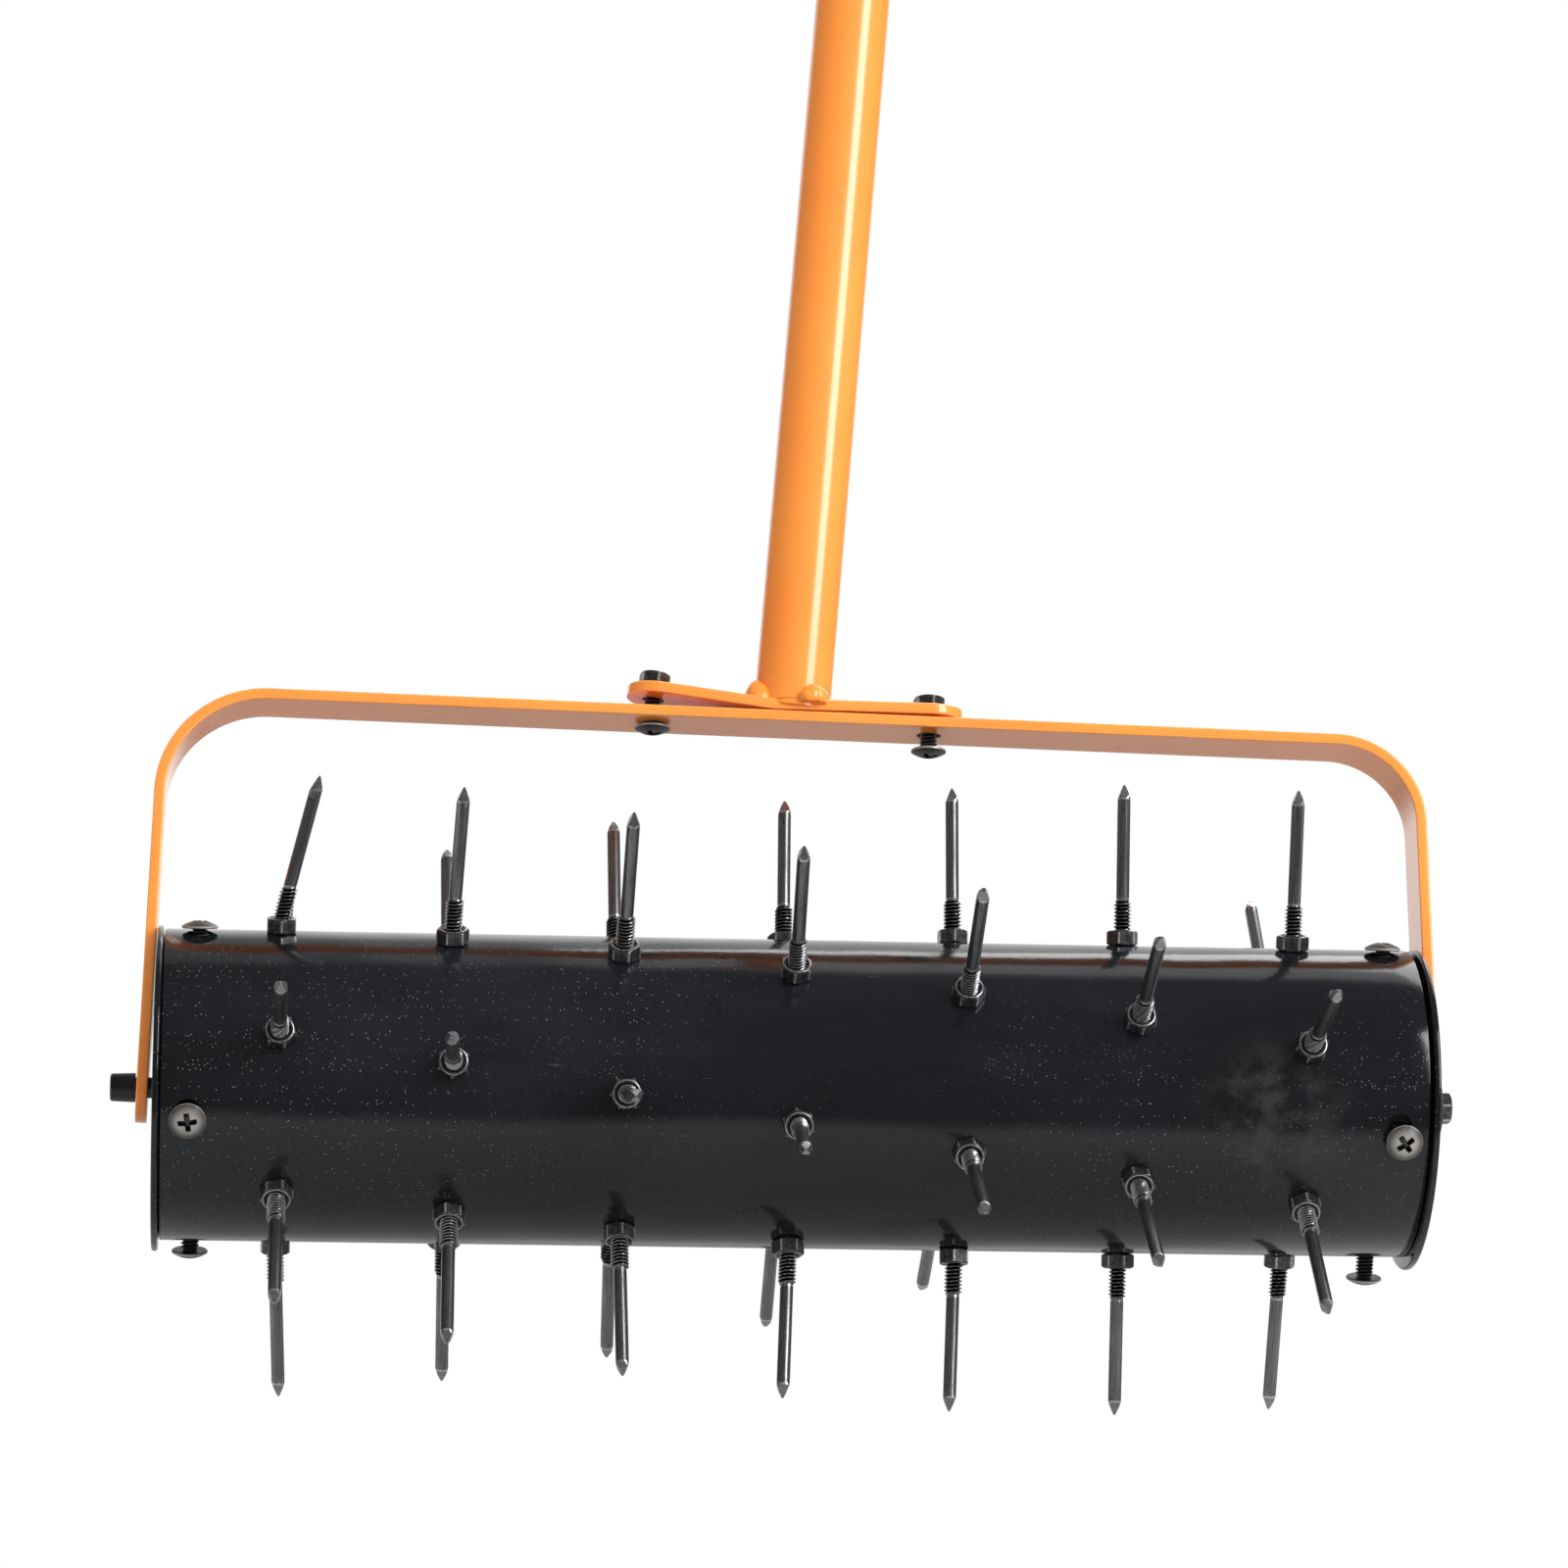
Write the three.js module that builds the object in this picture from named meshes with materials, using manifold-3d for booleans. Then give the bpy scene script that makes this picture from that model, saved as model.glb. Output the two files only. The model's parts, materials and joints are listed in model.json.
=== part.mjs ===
// A rolling spike aerator. A steel drum set with spikes turns on an axle bolt in a bent flat-bar yoke,
// and a long tube handle in three sections, ending in a cross bar with two grips, pushes it over a lawn.
// Lengths are in millimetres and angles in degrees. +Z is up, +X runs along the axle, -Y is the front.

import * as THREE from "three";
import { mergeVertices } from "three/addons/utils/BufferGeometryUtils.js";
import Module from "manifold-3d";

const wasm = await Module();
wasm.setup();

// Clearances
const fitGap = 0.3; // between pieces that seat on or pass through one another
const overrun = 2; // how far a cut runs past the faces that it opens

// Drum tube, with its own wall and the slack in which it hangs on the axle
const drumRadius = 44.5;
const drumWall = 1.5;
const drumLength = 358;
const drumRise = 1.2;

// Spikes: rows round the drum, columns along it, each column turned on by the row twist
const spikeRows = 6;
const spikeColumns = 7;
const firstRowAngle = 66.3;
const rowTwist = 9.85;
const columnEndMargin = 33.5;
const columnShift = -0.6;
const spikeReach = 46.6;
const spikeShankRadius = 1.9;
const spikePointLength = 3.6;
const spikeThreadAboveNut = 9;
const spikeThreadRunout = 0.6;
const spikeHeadHeight = 3.6;
const nutTurnPerSpike = 37;

// Leans of single spikes above their nut: along the axle, and round the drum towards higher angles
const spikeLeans = {
  a1: [13.6, 0],
  a2: [2.8, 0],
  a3: [1.1, 0],
  a4: [-1.1, 0],
  b1: [0, -2.3],
  b2: [-2.5, 0],
  b4: [-2.2, 2],
  b6: [1.3, 0],
  b7: [1.5, 0],
  c2: [-1, 0],
  c3: [0.5, 0],
  c4: [-2.7, 0],
  c5: [-2.1, 0],
  c6: [-0.5, 0],
  c7: [-2, 0],
  d1: [2.5, 0],
  d2: [0.8, 0],
  d3: [1.1, 0],
  d5: [-1.2, 0],
  e3: [-1.3, 0],
  e4: [1.5, 0],
  e6: [-1, 0],
  e7: [-0.5, -2.5],
  f4: [1.2, 0],
};

// Threads, nuts and screw heads shared by all the small fasteners
const threadRadius = 2.35;
const nutAcrossFlats = 8.2;
const nutHeight = 4.3;
const nutChamfer = 0.5;
const screwHeadRadius = 5.15;
const screwHeadHeight = 2.4;
const screwHeadEdge = 0.7;
const screwTailLength = 1.5;

// End caps, a disc and a skirt that reaches into the tube
const capOverhang = 2;
const capDiscThickness = 1.8;
const capGap = 0.4;
const capSkirtWall = 1.4;
const capSlack = 0.8;
const capDishDepth = 3.2;
const capDishRadius = 31;
const capDishSlope = 3;

// The right cap stands askew: further out, lower, and tipped with its top outwards
const askewCapShift = 0.6;
const askewCapDrop = 0.5;
const askewCapTip = 0.9;

// Cap screws in the order front, top, back, bottom: their place round and along the tube, how far their
// heads stand off it, and how they lean
const capScrewAngles = { left: [-23.8, 64, 154, 244], right: [-23.6, 64, 154, 244] };
const capScrewInsets = { left: [7.8, 9.8, 7.8, 8.5], right: [8.1, 9.6, 7.8, 8.6] };
const capScrewStandouts = { left: [0.7, 0.9, 0.8, 3.8], right: [2.7, 0.6, 0.8, 7.1] };
const capScrewLeans = { left: [-9, 10, 0, 0], right: [-8, 10, 0, 0] };

// Their holes in the tube are wide, and the front ones are drawn out upwards and sideways
const capScrewHoleRadius = 3.6;
const frontHoleRadius = 3.3;
const frontHoleRiseLeft = 3.1;
const frontHoleRiseRight = 5;
const frontHoleShiftRight = 1;

// Hub bushes, pressed into the dished caps
const bushWall = 3.4;
const bushFlangeRadius = 11;
const bushFlangeThickness = 3.2;
const bushLength = 9;

// Axle bolt, its washer at the head and the sleeve nut at the far end
const axleRadius = 3;
const axleHeadAcrossFlats = 8.2;
const axleHeadHeight = 3.3;
const axleHeadChamfer = 0.6;
const washerRadius = 8.6;
const washerThickness = 0.9;
const sleeveNutRadius = 4.05;
const sleeveNutLength = 7.2;
const sleeveNutWall = 1.4;
const sleeveNutChamfer = 0.5;

// Yoke, one flat bar bent round the drum
const barWidth = 20;
const barThickness = 3.2;
const barSlope = 1.27;
const barHoleRadius = 3.6;
const armSplayLeft = 1.9;
const armSplayRight = 0.65;
const bendRadiusLeft = 32;
const bendRadiusRight = 26.7;
const endPlayLeft = 1.85;
const endPlayRight = 3.7;
const spikeToBarGap = 17.9;

// Base plate of the handle, bent up off the bar on one side
const plateLength = 98.5;
const plateThickness = 3.2;
const plateShift = 1.1;
const plateHoleMargin = 8.7;
const plateBendOffset = -6;
const plateBendRadius = 9;
const plateLiftLeft = 6.3;
const plateLiftRight = 0.7;
const plateScrewHangs = { left: 0.7, right: 4.2 };
const plateScrewTail = 0.5;

// Handle tubes and the weld tacks at their foot
const handleShift = 0.4;
const handleLean = 3.63;
const tubeRadius = 11.2;
const tubeWall = 1.2;
const lowerTubeLength = 380;
const middleTubeLength = 360;
const stemLength = 300;
const spigotLength = 44;
const swageLength = 5;
const weldHeightShare = 0.95;
const weldRiseShare = 0.2;
const weldAngles = [-158, -58, 60, 120];
const weldRadii = [3.2, 4.1, 3, 3];

// Cross bar and grips
const crossBarLength = 300;
const gripLength = 112;
const gripWall = 3.4;
const gripRib = 0.8;
const gripRibCount = 7;
const gripEndWall = 4;
const gripFlange = 2.6;
const gripFlangeLength = 5;

// Numbers of flat sides that stand in for round
const drumSides = 46;
const capSides = 28;
const tubeSides = 18;
const screwSides = 6;
const headSides = 8;
const bendSteps = 7;
const weldSteps = 4;

// Sizes that follow from the ones above
const degrees = THREE.MathUtils.degToRad;
const drumBore = drumRadius - drumWall;
const capOuterEnd = capGap + capDiscThickness;
const capSkirtRadius = drumBore - drumRise - capSlack - fitGap;
const capSkirtDepth = 2 * capScrewInsets.left[0] + threadRadius;
const insideWidth = drumLength + 2 * capOuterEnd + endPlayLeft + endPlayRight;
const drumSlide = (endPlayLeft - endPlayRight) / 2;
const columnSpacing = (drumLength - 2 * columnEndMargin) / (spikeColumns - 1);
const nutRadius = nutAcrossFlats / Math.sqrt(3);
const barUnderside = drumRise + drumRadius + spikeReach + spikeToBarGap;
const barTop = barUnderside + barThickness;
const bushBore = axleRadius + fitGap;
const bushRadius = bushBore + bushWall;
const plateScrewPlace = plateLength / 2 - plateHoleMargin;
const spigotRadius = tubeRadius - tubeWall - fitGap;

// Finishes
const orangeCoat = { color: 0xf08a3c, roughness: 0.32, metalness: 0.1 };
const blackCoat = { color: 0x2b2c2e, roughness: 0.2, metalness: 0.2 };
const darkSteel = { color: 0x4a4b4e, roughness: 0.38, metalness: 0.85 };
const blackScrew = { color: 0x39383a, roughness: 0.3, metalness: 0.8 };
const blackNylon = { color: 0x1c1c1e, roughness: 0.55, metalness: 0 };
const gripRubber = { color: 0x202022, roughness: 0.8, metalness: 0 };

// A closed geometry as a solid that can be joined and cut. Faces shrunk to a line at a pole are dropped.
function toSolid(geometry) {
  const bare = geometry.clone();
  bare.deleteAttribute("normal");
  bare.deleteAttribute("uv");
  const merged = mergeVertices(bare);
  const corners = merged.index.array;
  const kept = [];
  for (let i = 0; i < corners.length; i += 3) {
    const [a, b, c] = corners.slice(i, i + 3);
    if (a !== b && b !== c && c !== a) kept.push(a, b, c);
  }
  const vertProperties = merged.attributes.position.array;
  const triVerts = new Uint32Array(kept);
  return new wasm.Manifold(new wasm.Mesh({ numProp: 3, vertProperties, triVerts }));
}

// A solid as a geometry with flat-shaded faces.
function toGeometry(solid) {
  const { numProp, vertProperties, triVerts } = solid.getMesh();
  const positions = new Float32Array((vertProperties.length / numProp) * 3);
  for (let i = 0; i < positions.length / 3; i++) {
    positions.set(vertProperties.subarray(i * numProp, i * numProp + 3), i * 3);
  }
  const geometry = new THREE.BufferGeometry();
  geometry.setAttribute("position", new THREE.BufferAttribute(positions, 3));
  geometry.setIndex(new THREE.BufferAttribute(new Uint32Array(triVerts), 1));
  const flat = geometry.toNonIndexed();
  flat.computeVertexNormals();
  return flat;
}

// A named piece with a finish of its own.
function piece(name, solid, finish) {
  const mesh = new THREE.Mesh(toGeometry(solid), new THREE.MeshStandardMaterial(finish));
  mesh.name = name;
  return mesh;
}

// Points of radius and height turned about +Z.
function revolved(profile, sides) {
  const points = profile.map(([radius, height]) => new THREE.Vector2(radius, height));
  if (THREE.ShapeUtils.area(points) < 0) points.reverse();
  const closed = points[0].x === 0 ? points : [...points, points[0]];
  return new THREE.LatheGeometry(closed, sides).rotateX(Math.PI / 2);
}

function rod(radius, bottom, top, sides) {
  return revolved([[0, bottom], [radius, bottom], [radius, top], [0, top]], sides);
}

function pipe(outer, inner, bottom, top, sides) {
  return revolved([[inner, bottom], [outer, bottom], [outer, top], [inner, top]], sides);
}

// A hexagonal nut or bolt head with its outer corners taken off, from one height up.
function hexagon(acrossFlats, height, chamfer, bottom) {
  const radius = acrossFlats / Math.sqrt(3);
  const top = bottom + height;
  const side = [[radius, bottom], [radius, top - chamfer], [radius - chamfer, top]];
  return revolved([[0, bottom], ...side, [0, top]], 6);
}

// A domed screw head, its flat side at one height and its dome above.
function domedHead(bottom) {
  const crownShare = 0.5;
  return revolved([
    [0, bottom],
    [screwHeadRadius, bottom],
    [screwHeadRadius, bottom + screwHeadEdge],
    [screwHeadRadius * crownShare, bottom + screwHeadHeight],
    [0, bottom + screwHeadHeight],
  ], headSides);
}

// The outline of a strip that runs straight between the points of its middle line and bends round at the
// inner ones, each by a radius of its own.
function stripOutline(path, radii, thickness) {
  const edge = (offset) => path.flatMap((point, i) => {
    const before = point.clone().sub(path[Math.max(i - 1, 0)]).normalize();
    const after = path[Math.min(i + 1, path.length - 1)].clone().sub(point).normalize();
    const along = i === 0 ? after : before;
    const left = new THREE.Vector2(-along.y, along.x);
    if (i === 0 || i === path.length - 1) return [point.clone().addScaledVector(left, offset)];
    const radius = radii[i - 1];
    const turn = Math.atan2(before.cross(after), before.dot(after));
    const side = Math.sign(turn);
    const start = point.clone().addScaledVector(before, -radius * Math.tan(Math.abs(turn) / 2));
    const centre = start.clone().addScaledVector(left, side * radius);
    const arm = left.multiplyScalar(-side * (radius - side * offset));
    return Array.from({ length: bendSteps + 1 }, (_, step) =>
      centre.clone().add(arm.clone().rotateAround(new THREE.Vector2(), (turn * step) / bendSteps)));
  });
  return [...edge(thickness / 2), ...edge(-thickness / 2).reverse()];
}

// A flat outline in X and Z, given depth along Y and centred on it.
function deepened(outline, depth) {
  const shape = new THREE.Shape(outline);
  const geometry = new THREE.ExtrudeGeometry(shape, { depth, bevelEnabled: false });
  return geometry.rotateX(Math.PI / 2).translate(0, depth / 2, 0);
}

// A bar's silhouette with one or both ends full round, as an upright prism about +Z.
function roundEnded(width, from, to, roundBoth, height) {
  const shape = new THREE.Shape();
  const half = width / 2;
  shape.absarc(from + half, 0, half, Math.PI / 2, (3 * Math.PI) / 2, false);
  if (roundBoth) shape.absarc(to - half, 0, half, -Math.PI / 2, Math.PI / 2, false);
  else {
    shape.lineTo(to, -half);
    shape.lineTo(to, half);
  }
  const options = { depth: height, bevelEnabled: false, curveSegments: bendSteps };
  return new THREE.ExtrudeGeometry(shape, options).translate(0, 0, -height / 2);
}

// Drum

function spikeX(column) {
  return (column - (spikeColumns - 1) / 2) * columnSpacing + columnShift;
}

function spikeAngle(row, column) {
  return firstRowAngle - (row * 360) / spikeRows - column * rowTwist;
}

// Turns +Z outwards from the axle, to an angle counted upwards from the front.
function outwards(angle) {
  return Math.PI / 2 - degrees(angle);
}

function tubePiece() {
  const half = drumLength / 2;
  const holeRadius = threadRadius + fitGap;
  const top = drumRadius + overrun;
  const bottom = drumBore - overrun;
  let tube = toSolid(pipe(drumRadius, drumBore, -half, half, drumSides).rotateY(Math.PI / 2));
  for (let column = 0; column < spikeColumns; column++) {
    for (let row = 0; row < spikeRows; row++) {
      const hole = rod(holeRadius, bottom, top, screwSides).rotateX(outwards(spikeAngle(row, column)));
      tube = tube.subtract(toSolid(hole.translate(spikeX(column), 0, 0)));
    }
  }
  const cutCapScrewHole = (radius, angle, x, z) => {
    const hole = rod(radius, bottom, top, headSides).rotateX(outwards(angle));
    tube = tube.subtract(toSolid(hole.translate(x, 0, z)));
  };
  const { left, right } = capScrewAngles;
  const tipped = (angle) => drumRadius * Math.sin(degrees(angle)) * Math.sin(degrees(askewCapTip));
  const leftX = left.map((_, i) => capScrewInsets.left[i] - half);
  const rightX = right.map((angle, i) => half - capScrewInsets.right[i] + askewCapShift + tipped(angle));
  const leftZ = -drumRise;
  const rightZ = leftZ - askewCapDrop;
  left.forEach((angle, i) => cutCapScrewHole(capScrewHoleRadius, angle, leftX[i], leftZ));
  right.forEach((angle, i) => cutCapScrewHole(capScrewHoleRadius, angle, rightX[i], rightZ));
  cutCapScrewHole(frontHoleRadius, left[0] + frontHoleRiseLeft, leftX[0], leftZ);
  cutCapScrewHole(frontHoleRadius, right[0] + frontHoleRiseRight, rightX[0] - frontHoleShiftRight, rightZ);
  return piece("drum_tube", tube, blackCoat);
}

// A spike built outwards along +Z: a bolt whose head lies inside the tube, and its lock nut outside.
function spikeSolid(nutTurn, leans) {
  const nutBottom = drumRadius + fitGap;
  const nutTop = nutBottom + nutHeight;
  const headTop = Math.sqrt(drumBore ** 2 - nutRadius ** 2) - fitGap;
  const threadEnd = nutTop + spikeThreadAboveNut;
  const tip = drumRadius + spikeReach;
  const body = [
    [threadRadius, threadEnd],
    [spikeShankRadius, threadEnd + spikeThreadRunout],
    [spikeShankRadius, tip - spikePointLength],
    [0, tip],
  ];
  const hexagons = toSolid(hexagon(nutAcrossFlats, nutHeight, nutChamfer, nutBottom))
    .add(toSolid(rod(nutRadius, headTop - spikeHeadHeight, headTop, 6)))
    .rotate([0, 0, nutTurn]);
  const start = headTop - spikeHeadHeight / 2;
  const threaded = (bottom) => revolved([[0, bottom], [threadRadius, bottom], ...body], screwSides);
  if (!leans) return hexagons.add(toSolid(threaded(start)));
  const bendHeight = nutTop - nutChamfer;
  const upper = threaded(bendHeight - nutHeight / 2)
    .translate(0, 0, -bendHeight)
    .rotateY(degrees(leans[0]))
    .rotateX(degrees(-leans[1]))
    .translate(0, 0, bendHeight);
  return hexagons.add(toSolid(rod(threadRadius, start, bendHeight, screwSides))).add(toSolid(upper));
}

function spikePieces() {
  const pieces = [];
  for (let row = 0; row < spikeRows; row++) {
    for (let column = 0; column < spikeColumns; column++) {
      const label = `${"abcdef"[row]}${column + 1}`;
      const nutTurn = (row * spikeColumns + column) * nutTurnPerSpike;
      const spike = piece(`spike_${label}`, spikeSolid(nutTurn, spikeLeans[label]), darkSteel);
      spike.position.x = spikeX(column);
      spike.rotation.x = outwards(spikeAngle(row, column));
      pieces.push(spike);
    }
  }
  return pieces;
}

// A cap screw along +Z with the nut that is welded inside the skirt. It leans where it passes the tube's
// surface, and its head stands off the tube.
function capScrewSolid(angle, standout, lean, drop) {
  const tubeSurface = drumRadius + (drumRise + drop) * Math.sin(degrees(angle));
  const headBottom = tubeSurface + fitGap + standout;
  const nutTop = capSkirtRadius - capSkirtWall / 2;
  const tail = nutTop - nutHeight - screwTailLength + Math.min(standout, screwTailLength);
  const nut = hexagon(nutAcrossFlats, nutHeight, nutChamfer, -nutTop).rotateX(Math.PI);
  return toSolid(rod(threadRadius, tail, headBottom + screwHeadEdge, screwSides))
    .add(toSolid(domedHead(headBottom)))
    .add(toSolid(nut))
    .translate([0, 0, -tubeSurface])
    .rotate([-lean, 0, 0])
    .translate([0, 0, tubeSurface]);
}

// A dished disc on a skirt, built with its outer face towards +Z and the tube's end at height zero.
function capPiece(name, end, drop) {
  const side = end < 0 ? "left" : "right";
  const outer = capOuterEnd;
  const inner = capGap;
  const hub = bushRadius + capSlack;
  const edge = capDiscThickness / 4;
  const rim = drumRadius + capOverhang;
  const disc = [
    [hub, outer - capDishDepth],
    [capDishRadius - capDishSlope, outer - capDishDepth],
    [capDishRadius, outer],
    [rim - edge, outer],
    [rim, outer - edge],
    [rim, inner + edge],
    [rim - edge, inner],
    [capSkirtRadius, inner],
    [capSkirtRadius, -capSkirtDepth],
    [capSkirtRadius - capSkirtWall, -capSkirtDepth],
    [capSkirtRadius - capSkirtWall, inner],
    [capDishRadius + edge, inner],
    [capDishRadius - capDishSlope + edge, inner - capDishDepth],
    [hub, inner - capDishDepth],
  ];
  let cap = toSolid(revolved(disc, capSides).rotateY((end * Math.PI) / 2));
  capScrewAngles[side].forEach((angle, i) => {
    const turn = THREE.MathUtils.radToDeg(outwards(angle));
    const screw = capScrewSolid(angle, capScrewStandouts[side][i], capScrewLeans[side][i], drop);
    cap = cap.add(screw.rotate([turn, 0, 0]).translate([-end * capScrewInsets[side][i], 0, 0]));
  });
  const mesh = piece(name, cap, blackCoat);
  mesh.position.x = (end * drumLength) / 2;
  return mesh;
}

// A flanged bush, its flange on the dished face and its barrel inside the drum.
function bushPiece(name, end) {
  const seat = capOuterEnd - capDishDepth + fitGap;
  const profile = [
    [bushBore, seat - bushLength],
    [bushRadius, seat - bushLength],
    [bushRadius, seat],
    [bushFlangeRadius, seat],
    [bushFlangeRadius, seat + bushFlangeThickness],
    [bushBore, seat + bushFlangeThickness],
  ];
  const mesh = piece(name, toSolid(revolved(profile, tubeSides).rotateY((end * Math.PI) / 2)), blackNylon);
  mesh.position.x = (end * drumLength) / 2;
  return mesh;
}

function drumGroup() {
  const tube = new THREE.Group();
  tube.position.z = drumRise;
  tube.add(tubePiece(), ...spikePieces());
  const drum = new THREE.Group();
  drum.position.x = drumSlide;
  drum.add(tube);
  const leftCap = capPiece("end_cap_left", -1, 0);
  const rightCap = capPiece("end_cap_right", 1, askewCapDrop);
  rightCap.position.x += askewCapShift;
  rightCap.position.z -= askewCapDrop;
  rightCap.rotation.y = degrees(askewCapTip);
  const rightBush = bushPiece("hub_bush_right", 1);
  rightBush.position.x += askewCapShift;
  drum.add(leftCap, rightCap, bushPiece("hub_bush_left", -1), rightBush);
  return drum;
}

// Yoke and axle

// The middle line of the bent bar in X and Z, from the foot of one arm over the drum to the other.
function yokePath() {
  const foot = insideWidth / 2 + barThickness / 2;
  const splay = (side) => Math.tan(degrees(side < 0 ? armSplayLeft : armSplayRight));
  const slope = Math.tan(degrees(barSlope));
  const middle = barTop - barThickness / 2;
  const bottom = -barWidth / 2 - overrun;
  const corner = (side) => {
    const z = (middle - side * foot * slope) / (1 - side * splay(side) * slope);
    return new THREE.Vector2(side * (foot - z * splay(side)), z);
  };
  const end = (side) => new THREE.Vector2(side * (foot - bottom * splay(side)), bottom);
  return [end(-1), corner(-1), corner(1), end(1)];
}

function yokePiece() {
  const reach = insideWidth + 4 * barThickness + 4 * overrun;
  const radii = [bendRadiusLeft, bendRadiusRight].map((radius) => radius - barThickness / 2);
  const outline = stripOutline(yokePath(), radii, barThickness);
  const strip = deepened(outline, 2 * barWidth);
  const silhouette = roundEnded(barWidth, -barWidth / 2, barTop + barWidth, false, reach)
    .rotateZ(Math.PI / 2)
    .rotateX(Math.PI / 2)
    .rotateZ(Math.PI / 2);
  const axleHole = rod(axleRadius + fitGap, -reach / 2, reach / 2, headSides).rotateY(Math.PI / 2);
  let yoke = toSolid(strip).intersect(toSolid(silhouette)).subtract(toSolid(axleHole));
  for (const side of [-1, 1]) {
    const hole = rod(barHoleRadius, -barThickness - overrun, overrun, headSides)
      .translate(side * plateScrewPlace + handleShift, 0, 0)
      .rotateY(degrees(barSlope))
      .translate(0, 0, barTop);
    yoke = yoke.subtract(toSolid(hole));
  }
  return piece("yoke", yoke, orangeCoat);
}

function axlePieces() {
  const armOuter = insideWidth / 2 + barThickness;
  const tilt = washerRadius * Math.tan(degrees(armSplayRight));
  const washerStart = armOuter + tilt + fitGap;
  const headStart = washerStart + washerThickness + fitGap;
  const sleeveStart = -armOuter - sleeveNutRadius * Math.tan(degrees(armSplayLeft)) - fitGap;
  const sleeveEnd = sleeveStart - sleeveNutLength;
  const boltStart = sleeveEnd + sleeveNutWall + fitGap;
  const bolt = toSolid(rod(axleRadius, boltStart, headStart + axleHeadChamfer, headSides))
    .add(toSolid(hexagon(axleHeadAcrossFlats, axleHeadHeight, axleHeadChamfer, headStart)));
  const hollow = axleRadius + fitGap;
  const sleeve = revolved([
    [hollow, sleeveStart],
    [hollow, sleeveEnd + sleeveNutWall],
    [0, sleeveEnd + sleeveNutWall],
    [0, sleeveEnd],
    [sleeveNutRadius - sleeveNutChamfer, sleeveEnd],
    [sleeveNutRadius, sleeveEnd + sleeveNutChamfer],
    [sleeveNutRadius, sleeveStart],
  ], headSides);
  const washer = pipe(washerRadius, hollow, washerStart, washerStart + washerThickness, headSides);
  const pieces = [
    piece("axle_bolt", bolt, blackScrew),
    piece("axle_sleeve_nut", toSolid(sleeve), blackNylon),
    piece("axle_washer", toSolid(washer), blackScrew),
  ];
  pieces.forEach((mesh) => (mesh.rotation.y = Math.PI / 2));
  return pieces;
}

// Handle

// Height of the plate's underside above the bar, at a place along the bar.
function plateLift(x) {
  const wing = x - plateBendOffset;
  return fitGap + Math.abs(wing) * Math.tan(degrees(wing < 0 ? plateLiftLeft : plateLiftRight));
}

// The plate and the lower tube are welded into one piece.
function handleBasePiece() {
  const half = plateLength / 2;
  const middle = plateThickness / 2;
  const path = [-half - overrun, plateBendOffset, half + plateShift + overrun]
    .map((x) => new THREE.Vector2(x, plateLift(x) + middle));
  const strip = deepened(stripOutline(path, [plateBendRadius], plateThickness), 2 * barWidth);
  const silhouette = roundEnded(barWidth, plateShift - half, plateShift + half, true, 4 * barWidth);
  let base = toSolid(strip).intersect(toSolid(silhouette));
  const tube = pipe(tubeRadius, tubeRadius - tubeWall, middle, lowerTubeLength, tubeSides);
  base = base.add(toSolid(tube.rotateY(degrees(handleLean))));
  weldAngles.forEach((angle, i) => {
    const radius = weldRadii[i];
    const tack = new THREE.SphereGeometry(radius, headSides, weldSteps)
      .scale(1, 1, weldHeightShare)
      .translate(tubeRadius, 0, radius * weldRiseShare)
      .rotateZ(degrees(angle))
      .translate(0, 0, plateThickness + plateLift(0));
    base = base.add(toSolid(tack));
  });
  for (const side of [-1, 1]) {
    const hole = rod(threadRadius + 2 * fitGap, -overrun, barWidth, screwSides);
    base = base.subtract(toSolid(hole.translate(side * plateScrewPlace, 0, 0)));
  }
  base = base.subtract(toSolid(jointHole(lowerTubeLength - spigotLength / 2).rotateY(degrees(handleLean))));
  return piece("handle_base", base, orangeCoat);
}

// A domed screw from under the bar through the plate, with its nut on the plate's upper face.
function plateScrewPiece(name, side, hang) {
  const x = side * plateScrewPlace;
  const lift = side < 0 ? plateLiftLeft : -plateLiftRight;
  const headTop = -barThickness - fitGap - hang;
  const tilt = nutRadius * Math.sin(Math.abs(degrees(lift)));
  const nutBottom = plateLift(x) + plateThickness + fitGap + tilt;
  const tail = nutBottom + nutHeight + plateScrewTail;
  const nut = hexagon(nutAcrossFlats, nutHeight, nutChamfer, 0)
    .rotateY(degrees(lift))
    .translate(0, 0, nutBottom);
  const solid = toSolid(rod(threadRadius, headTop - screwHeadEdge, tail, screwSides))
    .add(toSolid(domedHead(-headTop).rotateX(Math.PI)))
    .add(toSolid(nut));
  const mesh = piece(name, solid, blackScrew);
  mesh.position.x = x;
  return mesh;
}

function jointHole(height) {
  const reach = tubeRadius + overrun;
  return rod(threadRadius + fitGap, -reach, reach, screwSides).rotateX(Math.PI / 2).translate(0, 0, height);
}

// A handle tube whose lower end is swaged down to fit inside the tube below it.
function swagedTube(length) {
  const neck = spigotRadius - tubeWall;
  return toSolid(revolved([
    [neck, -spigotLength],
    [spigotRadius, -spigotLength],
    [spigotRadius, fitGap],
    [tubeRadius, swageLength],
    [tubeRadius, length],
    [tubeRadius - tubeWall, length],
    [tubeRadius - tubeWall, swageLength],
    [neck, fitGap],
  ], tubeSides)).subtract(toSolid(jointHole(-spigotLength / 2)));
}

function middleTubePiece() {
  const upperHole = jointHole(middleTubeLength - spigotLength / 2);
  const tube = swagedTube(middleTubeLength).subtract(toSolid(upperHole));
  return piece("middle_tube", tube, orangeCoat);
}

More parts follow.
